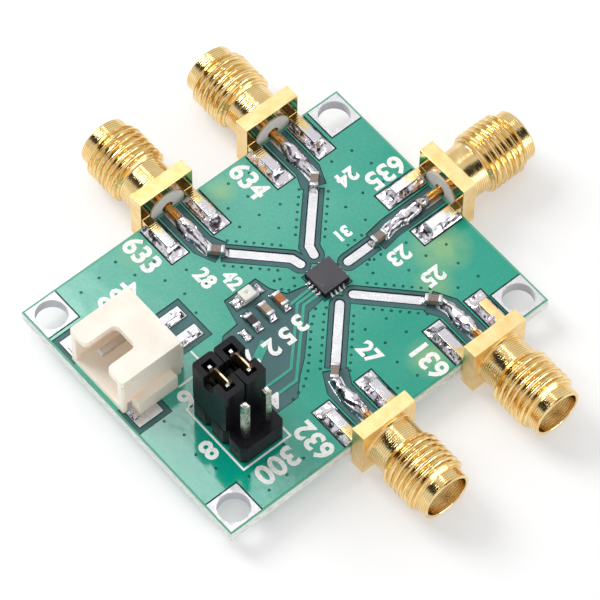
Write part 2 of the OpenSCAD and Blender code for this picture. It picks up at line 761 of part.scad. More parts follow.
// Jack shell: flange, neck, thread, lip, bore and four legs, turned and milled in one piece
module jack_barrel() {
    rotate_extrude()
        polygon(concat(
            [[0, FLANGE_BEVEL], [neck_d / 2, FLANGE_BEVEL], [neck_d / 2, THREAD_Z]],
            thread_points(),
            [[lip_d / 2, LIP_Z], [lip_d / 2, jack_l - LIP_CHAMFER],
            [lip_d / 2 - LIP_CHAMFER, jack_l], [0, jack_l]]));
}
module jack_bore() {
    translate([0, 0, -past])
        cylinder(d = insulator_d, h = jack_l + 2 * past);
    translate([0, 0, MOUTH_Z])
        cylinder(d = mouth_d, h = mouth_depth + past);
}
module jack_leg(side_x, y) {
    translate([side_x * leg_pitch / 2 - leg_w / 2, y, -leg_l])
        cube([leg_w, leg_h, leg_l + flange_t / 2]);
}
module jack_shell(i) {
    color(GOLD)
        at_port(i)
            difference() {
                union() {
                    linear_extrude(flange_t)
                        polygon(round_rect(flange_w, flange_w, FLANGE_BEVEL));
                    jack_barrel();
                    for (s = [-1, 1]) {
                        jack_leg(s, -pin_d / 2);
                        jack_leg(s, UNDERSIDE - leg_h);
                    }
                }
                jack_bore();
            }
}
module jack_insulator(i) {
    color("#e9e7e0")
        at_port(i)
            translate([0, 0, -INSULATOR_PROUD])
                difference() {
                    cylinder(d = insulator_d, h = MOUTH_Z + INSULATOR_PROUD);
                    translate([0, 0, -past])
                        cylinder(d = contact_d, h = MOUTH_Z + 2 * past);
                }
}
module jack_contact(i) {
    color(GOLD)
        at_port(i)
            difference() {
                union() {
                    translate([0, 0, -INSULATOR_PROUD])
                        cylinder(d = contact_d, h = MOUTH_Z + INSULATOR_PROUD);
                    translate([0, 0, -pin_l])
                        cylinder(d = pin_d, h = pin_l);
                }
                translate([0, 0, MOUTH_Z - socket_depth])
                    cylinder(d = socket_d, h = socket_depth + past);
            }
}

// Power socket housing: open to the board's edge, with a keyway in its top and two side wings
WING_FRONT = 1.05;
WING_REAR = 5.7;
STEP_L = 0.45;
STEP_H = 4;
KEYWAY_R = 0.6;
KEYWAY_FRONT_R = 0.6;
GRIP_GROOVE = [2.6, 0.15, 0.25];
GRIP_DROP = 1.1;
mouth_w = socket_w - 2 * socket_wall;
mouth_h = socket_h - 2 * socket_wall;
mouth_l = socket_l - socket_back;
CONTACT_CLEARANCE = 0.01;
ANCHOR_T = 0.25;
ANCHOR_W = 0.55;
ANCHOR_H = 1.5;
ANCHOR_X = socket_front + WING_FRONT - 0.45;
module keyway_front() {
    corner_y = keyway_w / 2 + KEYWAY_FRONT_R;
    difference() {
        translate([-past, -corner_y])
            square([past + KEYWAY_FRONT_R, 2 * corner_y]);
        for (s = [-1, 1])
            translate([KEYWAY_FRONT_R, s * corner_y])
                circle(r = KEYWAY_FRONT_R);
    }
}
module power_socket_housing() {
    color("#efe6d6")
        translate([0, socket_y, pad_z])
            difference() {
                union() {
                    translate([(socket_front + socket_rear) / 2, 0, 0])
                        linear_extrude(socket_h)
                            polygon(round_rect(socket_l, socket_w, 0.25));
                    translate([socket_front + WING_FRONT, -socket_w / 2 - wing_w, 0])
                        cube([WING_REAR - WING_FRONT, socket_w + 2 * wing_w, wing_h]);
                    translate([socket_rear - 1, -socket_w / 2 + 0.35, 0])
                        cube([1 + STEP_L, socket_w - 0.7, STEP_H]);
                }
                // The mouth that takes the plug
                translate([socket_front - past, -mouth_w / 2, socket_wall])
                    cube([mouth_l + past, mouth_w, mouth_h]);
                // The keyway through the top, which widens with round corners at the front
                translate([socket_front, 0, socket_h - socket_wall - eps])
                    linear_extrude(socket_wall + past) {
                        polygon(round_rect(2 * keyway_l, keyway_w, KEYWAY_R));
                        keyway_front();
                    }
                // Shallow grooves along the sides
                for (s = [-1, 1])
                    translate([socket_front - past, s * socket_w / 2 - GRIP_GROOVE[1],
                        socket_h - GRIP_DROP])
                        cube([GRIP_GROOVE[0] + past, 2 * GRIP_GROOVE[1], GRIP_GROOVE[2]]);
                // Slots for the two contacts, and the way down to their tails
                for (s = [-1, 1])
                    translate([0, s * contact_pitch / 2, 0])
                        contact_cut();
                // The notches in which the anchors stand
                for (s = [-1, 1])
                    translate([ANCHOR_X - ANCHOR_T / 2 - CONTACT_CLEARANCE,
                        s * socket_w / 2 - (s > 0 ? ANCHOR_T : 0), -past])
                        cube([ANCHOR_W, ANCHOR_T, ANCHOR_H + past + CONTACT_CLEARANCE]);
            }
}

// A contact in side view: a pin in the mouth, a drop inside the back wall and a flat tail
TAIL_L = 3.2;
TAIL_T = 0.5;
PIN_TIP = 0.15;
DROP_X = socket_rear - 0.75;
PIN_END_X = socket_front + 1.4;
function contact_profile(c) = [
    [PIN_END_X - c, contact_z - contact_w / 2 + PIN_TIP - c],
    [PIN_END_X - c, contact_z + contact_w / 2 - PIN_TIP + c],
    [PIN_END_X + PIN_TIP, contact_z + contact_w / 2 + c],
    [DROP_X + contact_w + c, contact_z + contact_w / 2 + c],
    [DROP_X + contact_w + c, TAIL_T + c],
    [socket_rear + TAIL_L - 0.3, TAIL_T + c],
    [socket_rear + TAIL_L, TAIL_T - 0.3],
    [socket_rear + TAIL_L, 0],
    [DROP_X - c, 0],
    [DROP_X - c, contact_z - contact_w / 2 - c],
    [PIN_END_X + PIN_TIP, contact_z - contact_w / 2 - c]];
module contact_cut() {
    translate([0, contact_w / 2 + CONTACT_CLEARANCE, 0])
        rotate([90, 0, 0])
            linear_extrude(contact_w + 2 * CONTACT_CLEARANCE)
                polygon(contact_profile(CONTACT_CLEARANCE));
}
module power_contact(s) {
    color(TIN)
        translate([0, socket_y + s * contact_pitch / 2 + contact_w / 2, pad_z])
            rotate([90, 0, 0])
                linear_extrude(contact_w)
                    polygon(contact_profile(0));
}

// An anchor: a bent strip that stands in the housing's side and lies on its pad
module power_anchor(s) {
    inner = socket_y + s * socket_w / 2 - s * ANCHOR_T;
    color(TIN)
        translate([ANCHOR_X - ANCHOR_T / 2, inner, pad_z])
            rotate([90, 0, 90])
                linear_extrude(ANCHOR_W - CONTACT_CLEARANCE)
                    polygon([[0, 0], [s * 1.35, 0], [s * 1.35, ANCHOR_T], [s * ANCHOR_T, ANCHOR_T],
                        [s * ANCHOR_T, ANCHOR_H], [0, ANCHOR_H]]);
}

// The outline of a header block of several cells, with each cell's corners cut off
CELL_CUT = 0.45;
function cell_side(cells, x, s) = [for (k = [0:cells - 1], e = [0, 1])
    [x * s, (k + e) * pitch + (e == 0 ? CELL_CUT : -CELL_CUT)]];
function block_outline(columns, cells) =
    let (half = columns * pitch / 2, right = cell_side(cells, half, 1),
         left_side = cell_side(cells, half, -1), len_y = cells * pitch)
    concat([[half - CELL_CUT, 0]],
        [for (k = [0:cells - 1], e = [0, 1, 2])
            if (e < 2) right[2 * k + e] else if (k < cells - 1) [half - CELL_CUT, (k + 1) * pitch]],
        [[half - CELL_CUT, len_y], [-half + CELL_CUT, len_y]],
        [for (k = [cells - 1:-1:0], e = [1, 0, 2])
            if (e < 2) left_side[2 * k + e] else if (k > 0) [-half + CELL_CUT, k * pitch]],
        [[-half + CELL_CUT, 0]]);
module header_base() {
    color(BLACK_PLASTIC)
        translate([0, 0, pad_z])
            difference() {
                translate([header_x, header_y - 1.5 * pitch, 0])
                    linear_extrude(base_top - pad_z)
                        polygon(block_outline(2, 3));
                for (p = POSTS)
                    centred_box([p[0], p[1], -past], [post_w, post_w, base_h + 2 * past]);
            }
}

// A square header pin with bevelled ends
POST_TIP = 0.35;
POST_TIP_W = 0.3;
module post_profile(bottom, top) {
    polygon([[-POST_TIP_W / 2, bottom], [POST_TIP_W / 2, bottom], [post_w / 2, bottom + POST_TIP],
        [post_w / 2, top - POST_TIP], [POST_TIP_W / 2, top], [-POST_TIP_W / 2, top],
        [-post_w / 2, top - POST_TIP], [-post_w / 2, bottom + POST_TIP]]);
}
module header_pin(i) {
    color(TIN)
        translate([POSTS[i][0], POSTS[i][1], 0])
            intersection() {
                for_side(0)
                    post_profile(-tail_l, post_top);
                for_side(90)
                    post_profile(-tail_l, post_top);
            }
}
module for_side(angle) {
    rotate([90, 0, angle])
        translate([0, 0, -past])
            linear_extrude(2 * past)
                children();
}

// A jumper cap over the first two pins of a row: a block with a slot for pins and clip,
// and a cross cut in its top
CAP_CORNER = 0.35;
CROSS_L = 1.35;
SLOT_CLEARANCE = 0.02;
slot_w = 2 * (clip_out + SLOT_CLEARANCE);
slot_l = pitch + 2 * (clip_out + SLOT_CLEARANCE);
CAP_Y = header_y + pitch / 2;
FLARE = 0.12;
HEAD_H = 1.4;
module jumper_cap(row) {
    color(BLACK_PLASTIC)
        translate([header_x + row * pitch / 2, CAP_Y, cap_z])
            difference() {
                linear_extrude(cap_h)
                    polygon(round_rect(cap_w, cap_l, CAP_CORNER));
                centred_box([0, 0, -past], [slot_w, slot_l, cap_h + 2 * past]);
                // The cross cut is open to both long sides
                centred_box([0, 0, cap_h - cross_depth],
                    [cap_w + 2 * past, CROSS_L, cross_depth + past]);
                // Below its head the cap's ends step back
                for (s = [-1, 1])
                    centred_box([0, s * cap_l / 2, -past],
                        [cap_w + 2 * past, 2 * FLARE, cap_h - HEAD_H + past]);
            }
}

// The clip in a jumper cap: one strip beside both pins, its ends folded round them
CLIP_Z = 0.5;
CLIP_H = 4.9;
LEAF_L = 1.2;
module jumper_clip(row) {
    outer_l = pitch + 2 * clip_out;
    inner_l = pitch + 2 * clip_in;
    color("#d8c48a")
        translate([header_x + row * pitch / 2, CAP_Y, cap_z + CLIP_Z])
            linear_extrude(CLIP_H)
                rotate(row < 0 ? 0 : 180)
                    difference() {
                        centred_rect([0, 0], 2 * clip_out, outer_l);
                        centred_rect([0, 0], 2 * clip_in, inner_l);
                        translate([-clip_out - past, -outer_l / 2 + LEAF_L])
                            square([clip_out + past, outer_l - 2 * LEAF_L]);
                    }
}

circuit_board();
ground_plane_top();
ground_plane_bottom();
control_tracks();
corner_pads();
leg_pads();
signal_strips();
launch_pads();
component_pads();
silkscreen();
switch_chip();
chip_terminals();
for (i = PORTS)
    blocking_capacitor(i);
blocking_capacitor_ends();
supply_capacitor_1();
supply_capacitor_2();
supply_capacitor_ends();
lamp_resistor();
lamp_resistor_ends();
status_lamp();
status_lamp_base();
for (i = PORTS)
    jack_shell(i);
for (i = PORTS)
    jack_insulator(i);
for (i = PORTS)
    jack_contact(i);
power_socket_housing();
power_contact(1);  // power_contact_1
power_contact(-1);  // power_contact_2
power_anchor(1);  // power_anchor_1
power_anchor(-1);  // power_anchor_2
header_base();
for (i = [0:5])
    header_pin(i);
jumper_cap(-1);  // jumper_cap_1
jumper_clip(-1);  // jumper_clip_1
jumper_cap(1);  // jumper_cap_2
jumper_clip(1);  // jumper_clip_2
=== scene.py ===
import math

import bpy
from mathutils import Matrix, Vector, noise


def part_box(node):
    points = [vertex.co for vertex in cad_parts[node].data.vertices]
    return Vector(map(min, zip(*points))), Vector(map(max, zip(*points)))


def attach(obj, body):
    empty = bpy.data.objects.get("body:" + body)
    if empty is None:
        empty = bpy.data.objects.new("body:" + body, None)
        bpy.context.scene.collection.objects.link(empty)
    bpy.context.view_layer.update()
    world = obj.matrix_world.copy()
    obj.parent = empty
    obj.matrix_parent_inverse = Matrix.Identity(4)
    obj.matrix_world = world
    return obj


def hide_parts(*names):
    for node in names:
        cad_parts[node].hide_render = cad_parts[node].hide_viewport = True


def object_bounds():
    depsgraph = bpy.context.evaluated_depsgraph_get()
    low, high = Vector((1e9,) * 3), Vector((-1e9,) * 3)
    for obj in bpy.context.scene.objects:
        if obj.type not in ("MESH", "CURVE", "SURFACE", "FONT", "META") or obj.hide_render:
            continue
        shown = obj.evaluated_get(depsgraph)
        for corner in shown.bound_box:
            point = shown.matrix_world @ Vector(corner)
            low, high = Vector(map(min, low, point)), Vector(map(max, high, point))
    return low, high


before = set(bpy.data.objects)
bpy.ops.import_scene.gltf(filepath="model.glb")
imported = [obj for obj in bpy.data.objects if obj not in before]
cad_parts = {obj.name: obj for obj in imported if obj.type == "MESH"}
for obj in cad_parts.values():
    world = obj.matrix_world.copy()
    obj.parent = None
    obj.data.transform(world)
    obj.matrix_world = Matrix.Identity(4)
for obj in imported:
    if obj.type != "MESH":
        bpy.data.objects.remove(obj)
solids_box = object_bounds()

# Camera: a long lens from high up on the power socket's side of jacks 1 and 2, at the
# photograph's own place and direction.
MM = 0.001
CAMERA_LENS = 269.2
CAMERA_PLACE = Vector((-140.14, -164.24, 364.26)) * MM
CAMERA_FORWARD = Vector((0.33505, 0.38765, -0.85876))
CAMERA_UP = Vector((0.55143, 0.65836, 0.51233))


def placed(name, data):
    """A new object in the scene that shows this data."""
    made = bpy.data.objects.new(name, data)
    bpy.context.scene.collection.objects.link(made)
    return made


camera_data = bpy.data.cameras.new("camera")
camera_data.lens = CAMERA_LENS
camera_data.sensor_width = 36
camera_data.clip_start = 0.02
camera_data.clip_end = 20
camera = placed("camera", camera_data)
forward = CAMERA_FORWARD.normalized()
across = forward.cross(CAMERA_UP).normalized()
upward = across.cross(forward)
turn = Matrix((across, upward, -forward)).transposed().to_4x4()
camera.matrix_world = Matrix.Translation(CAMERA_PLACE) @ turn
bpy.context.scene.camera = camera
bpy.context.scene.view_settings.view_transform = "Standard"


# Light: large white softboxes behind and beside the board in a pale tent. Two gaps in the
# tent, where the photographer works, give the round metal its dark streaks.
def linear(code):
    """An sRGB hex colour as linear light."""
    parts = [int(code[k:k + 2], 16) / 255 for k in (1, 3, 5)]
    return [c / 12.92 if c <= 0.04045 else ((c + 0.055) / 1.055) ** 2.4 for c in parts] + [1]


def feed(node, inputs):
    """Gives a node's inputs their values, or links them to sockets. A node stands for its
    first socket in use."""
    for key, value in inputs.items():
        if isinstance(value, bpy.types.Node):
            value = next(socket for socket in value.outputs if socket.enabled)
        if isinstance(value, bpy.types.NodeSocket):
            node.id_data.links.new(value, node.inputs[key])
        else:
            node.inputs[key].default_value = value


def add(tree, kind, inputs=None, **settings):
    """Adds a shader node: settings are its own, and inputs are fed to it."""
    made = tree.nodes.new("ShaderNode" + kind)
    for name, value in settings.items():
        setattr(made, name, value)
    feed(made, inputs or {})
    return made


def softbox(name, place, width, depth, radiance, level=False):
    """A rectangular lamp at a place in metres, level or turned to the board's middle."""
    lamp_data = bpy.data.lights.new(name, "AREA")
    lamp_data.shape = "RECTANGLE"
    lamp_data.size, lamp_data.size_y = width, depth
    lamp_data.energy = radiance * math.pi * width * depth
    lamp = placed(name, lamp_data)
    lamp.location = place
    if not level:
        lamp.rotation_euler = Vector(place).to_track_quat("Z", "Y").to_euler()


softbox("softbox_key", (-0.11, 0.44, 0.39), 0.30, 0.30, 8.0)
softbox("softbox_fill", (0.20, -0.56, 0.12), 0.50, 0.24, 2.2)
softbox("softbox_strip", (0.150, 0.25, 0.55), 0.052, 0.20, 5.0, level=True)

tent = bpy.data.worlds.new("tent")
tent.use_nodes = True
bpy.context.scene.world = tent
tree = tent.node_tree
tree.nodes.clear()
direction = add(tree, "TexCoord").outputs["Generated"]
lightness = 1.0
GAPS = [(-0.55, 0.39, 0.74), (0.34, -0.54, 0.77)]
for gap in GAPS:
    facing = add(tree, "VectorMath", {0: direction, 1: gap}, operation="DOT_PRODUCT")
    dark = add(tree, "MapRange", {"Value": facing, "From Min": 0.90, "From Max": 0.965,
               "To Min": 0.0, "To Max": 0.95}, interpolation_type="SMOOTHSTEP")
    lightness = add(tree, "Math", {0: lightness, 1: dark}, operation="SUBTRACT")
inside = add(tree, "Background", {"Strength": lightness})
seen = add(tree, "Background", {"Strength": 1.0})
path = add(tree, "LightPath")
mixed = add(tree, "MixShader", {0: path.outputs["Is Camera Ray"], 1: inside, 2: seen})
add(tree, "OutputWorld", {"Surface": mixed})

# Floor: a sheet of white paper just under the jacks. It glows a little to the camera and
# in reflections, which keeps its shadows as soft and light as the photograph's.
FLOOR_HALF, FLOOR_GAP, GLOW_SHARE = 3.0, 0.01 * MM, 0.36
bpy.ops.object.select_all(action="DESELECT")
bpy.ops.mesh.primitive_plane_add(size=2 * FLOOR_HALF,
                                 location=(0, 0, solids_box[0].z - FLOOR_GAP))
floor = bpy.context.object
floor.name = "floor"
paper = bpy.data.materials.new("white_paper")
paper.use_nodes = True
tree = paper.node_tree
tree.nodes.clear()
sheet = add(tree, "BsdfDiffuse", {"Color": linear("#fcfcfc")})
glow = add(tree, "Emission", {"Color": linear("#ffffff"), "Strength": 1.0})
path = add(tree, "LightPath")
glossy = add(tree, "Math", {0: path.outputs["Is Camera Ray"], 1: path.outputs["Is Glossy Ray"]},
             operation="MAXIMUM")
through = add(tree, "Math", {0: glossy, 1: path.outputs["Is Transmission Ray"]},
              operation="MAXIMUM")
share = add(tree, "Math", {0: through, 1: GLOW_SHARE}, operation="MULTIPLY")
mixed = add(tree, "MixShader", {0: share, 1: sheet, 2: glow})
add(tree, "OutputMaterial", {"Surface": mixed})
floor.data.materials.append(paper)


# Circuit board: glass-epoxy laminate under a thin green coating. Its sawn edges show the
# pale glass layers.
def start_finish(name, colour, roughness, metallic=0.0):
    """A material, its tree and shader, and a coordinate in the object's own millimetres."""
    material = bpy.data.materials.new(name)
    material.use_nodes = True
    tree = material.node_tree
    shader = tree.nodes["Principled BSDF"]
    feed(shader, {"Base Color": linear(colour), "Roughness": roughness, "Metallic": metallic})
    origin = add(tree, "TexCoord").outputs["Object"]
    place = add(tree, "Mapping", {"Vector": origin, "Scale": (1 / MM,) * 3})
    return material, tree, shader, place.outputs["Vector"]


def patchy(tree, where, scale, detail, *stops, **more):
    """Uneven patches of two colours: their noise, and a ramp with a place and a colour for
    each of its two ends."""
    inputs = {"Vector": where, "Scale": scale, "Detail": detail, **more}
    patches = add(tree, "TexNoise", inputs)
    ramp = add(tree, "ValToRGB", {"Fac": patches})
    for end, (place, code) in zip(ramp.color_ramp.elements, stops):
        end.position, end.color = place, linear(code)
    return patches, ramp


def dress(node_name, material):
    """Gives a CAD node its finish."""
    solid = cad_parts[node_name]
    solid.data.materials.clear()
    solid.data.materials.append(material)


laminate, tree, shader, mm = start_finish("coated_glass_epoxy", "#56787a", 0.38)
_, coating = patchy(tree, mm, 0.35, 4, (0.3, "#2f5a5b"), (0.7, "#3a696c"))
layers = add(tree, "Mapping", {"Vector": mm, "Scale": (0.8, 0.8, 7)})
_, glass = patchy(tree, layers, 1.6, 6, (0.36, "#aebdb4"), (0.56, "#f0f2ee"), Roughness=0.7)
geometry = add(tree, "NewGeometry")
facing = add(tree, "SeparateXYZ", {0: geometry.outputs["Normal"]})
flat = add(tree, "Math", {0: facing.outputs["Z"]}, operation="ABSOLUTE")
is_face = add(tree, "Math", {0: flat, 1: 0.5}, operation="GREATER_THAN")
# Beyond the copper's border the coating lies on bare laminate and is paler
copper_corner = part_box("ground_plane_top")[1] / MM
spot = add(tree, "SeparateXYZ", {0: mm})
outside = 0.0
for axis, reach in (("X", copper_corner.x), ("Y", copper_corner.y)):
    away = add(tree, "Math", {0: spot.outputs[axis]}, operation="ABSOLUTE")
    past = add(tree, "Math", {0: away, 1: reach}, operation="GREATER_THAN")
    outside = add(tree, "Math", {0: past, 1: outside}, operation="MAXIMUM")
coated = add(tree, "Mix", {"Factor": outside, "A": coating, "B": linear("#5aa58a")},
             data_type="RGBA")
# A thin grey plating lines the corner holes
HOLE_X, HOLE_Y, HOLE_REACH = 17.45, 13.4, 1.72
quarter = add(tree, "VectorMath", {0: mm}, operation="ABSOLUTE")
level = add(tree, "VectorMath", {0: quarter, 1: (1, 1, 0)}, operation="MULTIPLY")
from_hole = add(tree, "VectorMath", {0: level, 1: (HOLE_X, HOLE_Y, 0)}, operation="DISTANCE")
in_hole = add(tree, "Math", {0: from_hole, 1: HOLE_REACH}, operation="LESS_THAN")
wall = add(tree, "Mix", {"Factor": in_hole, "A": glass, "B": linear("#cfcfd6")}, data_type="RGBA")
both = add(tree, "Mix", {"Factor": is_face, "A": wall, "B": coated}, data_type="RGBA")
rough = add(tree, "MapRange", {"Value": is_face, "To Min": 0.8, "To Max": 0.32})
weave = add(tree, "TexNoise", {"Vector": mm, "Scale": 2.2, "Detail": 2})
ripple = add(tree, "Bump", {"Height": weave, "Strength": 0.12, "Distance": 0.02 * MM})
feed(shader, {"Base Color": both, "Roughness": rough, "Normal": ripple})
dress("circuit_board", laminate)

# Copper planes and control tracks: copper foil under a glossy green solder mask. The mask
# lies in soft waves and its green varies at random with the copper's tarnish and the mask's
# thickness. It is painted paler towards the far side and away from the common port, a painted
# reflection of the bright lamps. Near some of the joints the green turns yellow in patches.
solder_mask, tree, shader, mm = start_finish("glossy_green_solder_mask", "#219e88", 0.10)
spot = add(tree, "SeparateXYZ", {0: mm})
# Painted reflection: the green is painted paler towards the far side and away from the common
# port's edge
far_edge = add(tree, "MapRange",
               {"Value": spot.outputs["Y"], "From Min": -8.0, "From Max": 15.0, "To Max": 0.52})
common_edge = add(tree, "MapRange",
                  {"Value": spot.outputs["X"], "From Min": 20.0, "From Max": 11.0, "To Min": 0.25})
painted_reflection = add(tree, "Math", {0: far_edge, 1: common_edge}, operation="MULTIPLY")
broad = add(tree, "TexNoise", {"Vector": mm, "Scale": 0.11, "Detail": 3, "Roughness": 0.55})
cloud = add(tree, "MapRange",
            {"Value": broad, "From Min": 0.3, "From Max": 0.7, "To Min": -0.10, "To Max": 0.12})
reflection_and_tone = add(tree, "Math", {0: painted_reflection, 1: cloud}, operation="ADD", use_clamp=True)
green = add(tree, "Mix", {"Factor": reflection_and_tone, "A": linear("#009c84"), "B": linear("#7cc4b2")},
            data_type="RGBA")
fine = add(tree, "TexNoise", {"Vector": mm, "Scale": 3.2, "Detail": 5, "Roughness": 0.65})
grain = add(tree, "MapRange",
            {"Value": fine, "From Min": 0.3, "From Max": 0.7, "To Min": 0.90, "To Max": 1.08})
tinted = add(tree, "Mix", {"Factor": 1.0, "A": green, "B": grain}, data_type="RGBA",
             blend_type="MULTIPLY")
waves = add(tree, "TexNoise", {"Vector": mm, "Scale": 0.5, "Detail": 2})
# The green turns yellow in patches near some of the joints
YELLOW_PATCHES = [
    # x and y in mm, reach in mm and strength
    (15.4, -4.6, 3.4, 1.1), (12.2, -7.4, 2.4, 0.8), (6.8, -13.0, 2.6, 1.0), (3.5, 13.8, 2.0, 0.8),
    (-7.0, 13.4, 2.4, 0.5)]
yellowed = tinted
for x, y, reach, strength in YELLOW_PATCHES:
    away = add(tree, "VectorMath", {0: mm, 1: (x, y, 1.25)}, operation="DISTANCE")
    near = add(tree, "MapRange",
               {"Value": away, "From Min": reach, "From Max": 0.2 * reach, "To Max": strength})
    yellow_share = add(tree, "Math", {0: near, 1: waves}, operation="MULTIPLY")
    yellowed = add(tree, "Mix", {"Factor": yellow_share, "A": yellowed, "B": linear("#a3c583")},
                  data_type="RGBA")
swell = add(tree, "Bump", {"Height": waves, "Strength": 0.25, "Distance": 0.04 * MM})
orange_peel = add(tree, "Bump",
                  {"Height": fine, "Strength": 0.15, "Distance": 0.01 * MM, "Normal": swell})
feed(shader, {"Specular IOR Level": 0.8, "Base Color": yellowed, "Normal": orange_peel})
for name in ("ground_plane_top", "ground_plane_bottom", "control_tracks"):
    dress(name, solder_mask)


# Edge of the mask: where it runs down the copper's edge and into the plated holes it is
# painted nearly black, painted shade. It is a bead along the walls of the upper copper.
MERGE_GAP = 0.0005 * MM


def to_mode(mode):
    """Goes to edit or object mode, unless it is there."""
    if bpy.context.object and bpy.context.object.mode != mode:
        bpy.ops.object.mode_set(mode=mode)


def only(*pieces):
    """Selects these pieces and nothing else, the last one active."""
    to_mode("OBJECT")
    bpy.ops.object.select_all(action="DESELECT")
    for piece in pieces:
        piece.select_set(True)
        bpy.context.view_layer.objects.active = piece


def edit_all():
    """Goes to edit mode with the whole mesh selected."""
    to_mode("EDIT")
    bpy.ops.mesh.select_all(action="SELECT")


def modify(piece, kind, **settings):
    """Adds a modifier with these settings to a piece and applies it."""
    only(piece)
    change = piece.modifiers.new(kind, kind)
    for name, value in settings.items():
        setattr(change, name, value)
    bpy.ops.object.modifier_apply(modifier=change.name)


def copied(node_name, name):
    """A copy of a CAD node's mesh, with its loose triangles merged into one surface."""
    piece = placed(name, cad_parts[node_name].data.copy())
    only(piece)
    edit_all()
    bpy.ops.mesh.remove_doubles(threshold=MERGE_GAP)
    to_mode("OBJECT")
    return piece


def pick(piece, test):
    """Selects, in edit mode, the faces for which test(face) is true."""
    to_mode("EDIT")
    bpy.ops.mesh.select_mode(type="FACE")
    bpy.ops.mesh.select_all(action="DESELECT")
    to_mode("OBJECT")
    for face in piece.data.polygons:
        face.select = test(face)
    to_mode("EDIT")


def settle(piece, material, slot_name, *replaced, body="board"):
    """Gives a finished piece its material and body, and hides the nodes it stands for. Its
    slot_name is not used.
    """
    to_mode("OBJECT")
    piece.data.materials.clear()
    piece.data.materials.append(material)
    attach(piece, body)
    if replaced:
        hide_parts(*replaced)


def joined(pieces, name):
    """Joins pieces into one with a new name."""
    only(*pieces)
    bpy.ops.object.join()
    whole = bpy.context.object
    whole.name = name
    return whole


PLANE_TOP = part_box("ground_plane_top")[1].z
PLANE_MIDDLE = (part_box("ground_plane_top")[0].z + PLANE_TOP) / 2
MASK_BEAD, STRIP_BEAD = 0.075 * MM, 0.11 * MM
STRIP_SHIFT = Vector((0.05, 0.05, -0.004)) * MM
BORDER_X, BORDER_Y = copper_corner.x - 0.1, copper_corner.y - 0.1


def is_level(face):
    """Whether a face of the copper lies flat, and is no wall."""
    return abs(face.normal.z) > 0.3


def is_hole_wall(node_name, face):
    """Whether a wall of the corner pads belongs to a hole, where no mask lies."""
    if node_name != "corner_pads":
        return False
    x, y = abs(face.center.x / MM), abs(face.center.y / MM)
    return math.hypot(x - HOLE_X, y - HOLE_Y) < HOLE_REACH


def painted_shade(name, dark, light):
    """Painted shade: nearly black mask colour with little gloss, in uneven patches."""
    material, tree, shader, mm = start_finish(name, dark, 0.3)
    _, deep = patchy(tree, mm, 1.4, 3, (0.35, dark), (0.7, light))
    feed(shader, {"Specular IOR Level": 0.1, "Base Color": deep})
    return material


# Painted shade: nearly black along the copper's edges, in the plated holes and beside the tin
painted_edge_shade = painted_shade("painted_shade_at_copper_edge", "#0d3029", "#1f5a4c")
painted_via_shade = painted_shade("painted_shade_in_plated_hole", "#082420", "#0f3a32")
painted_tin_shade = painted_shade("painted_shade_beside_tin", "#0c0e10", "#23302e")
for node_name, resin in (("ground_plane_top", painted_edge_shade), ("signal_strips", painted_tin_shade),
                         ("corner_pads", painted_edge_shade), ("leg_pads", painted_tin_shade),
                         ("component_pads", painted_edge_shade)):
    bead = copied(node_name, "painted_edge_shade_" + node_name)
    pick(bead, lambda face: is_level(face) or face.center.z < 0
         or abs(face.center.x / MM) > BORDER_X or abs(face.center.y / MM) > BORDER_Y
         or is_hole_wall(node_name, face))
    bpy.ops.mesh.delete(type="FACE")
    modify(bead, "SOLIDIFY", offset=1, use_even_offset=True,
           thickness=STRIP_BEAD if node_name == "signal_strips" else MASK_BEAD)
    if node_name == "signal_strips":
        # The painted shade beside the strips is shifted a little, so it shows wider on two sides
        bead.data.transform(Matrix.Translation(STRIP_SHIFT))
    settle(bead, resin, "coated_copper")

# The mask also plugs the plated holes and sags in them, painted nearly black as painted shade of
# the hole, with a green middle
VIA_R, VIA_SAG = 0.15 * MM, 0.006 * MM
CENTRE_R, RIM_LIFT, CENTRE_LIFT = 0.045 * MM, 0.002 * MM, 0.004 * MM
WALL_SIDES, DISC_SIDES = 48, 16
plugs = copied("ground_plane_top", "via_plugs")
pick(plugs, is_level)
bpy.ops.mesh.delete(type="FACE")
bpy.ops.mesh.select_all(action="SELECT")
bpy.ops.mesh.fill_holes(sides=WALL_SIDES)
pick(plugs, lambda face: not is_level(face) or face.area > 4 * VIA_R ** 2
     or face.center.z < PLANE_MIDDLE)
bpy.ops.mesh.delete(type="FACE")
to_mode("OBJECT")
plugs.data.transform(Matrix.Translation((0, 0, -VIA_SAG)))
all_vias = [(face.center.x / MM, face.center.y / MM) for face in plugs.data.polygons]
settle(plugs, painted_via_shade, "coated_copper")

# A second row of plated holes runs beside the control tracks, and a few more lie at the chip
ROW_ENDS = [(2.0, -2.05), (0.57, -3.14), (-3.02, -6.87), (-4.3, -7.75), (-6.3, -8.3)]
ROW_STEP = 0.85
MORE_VIAS = [(0.98, 2.8), (1.51, 2.59), (0.92, 1.62), (1.37, 1.12), (2.62, 1.85), (2.11, 1.12),
             (2.85, -2.6), (9.4, -1.2)]
spare = 0.0
for (ax, ay), (bx, by) in zip(ROW_ENDS, ROW_ENDS[1:]):
    span = math.hypot(bx - ax, by - ay)
    while spare < span:
        MORE_VIAS.append((ax + (bx - ax) * spare / span, ay + (by - ay) * spare / span))
        spare += ROW_STEP
    spare -= span
all_vias += MORE_VIAS
for name, places, radius, lift, material in (
        ("via_rims", MORE_VIAS, VIA_R, RIM_LIFT, painted_via_shade),
        ("via_centres", all_vias, CENTRE_R, CENTRE_LIFT, solder_mask)):
    only()
    bpy.ops.mesh.primitive_circle_add(vertices=DISC_SIDES, radius=radius, fill_type="NGON")
    disc = bpy.context.object
    discs = []
    for x, y in places:
        spot_disc = placed(name + "_spot", disc.data.copy())
        spot_disc.data.transform(Matrix.Translation((x * MM, y * MM, PLANE_TOP + lift)))
        discs.append(spot_disc)
    bpy.data.objects.remove(disc)
    settle(joined(discs, name), material, "coated_copper")

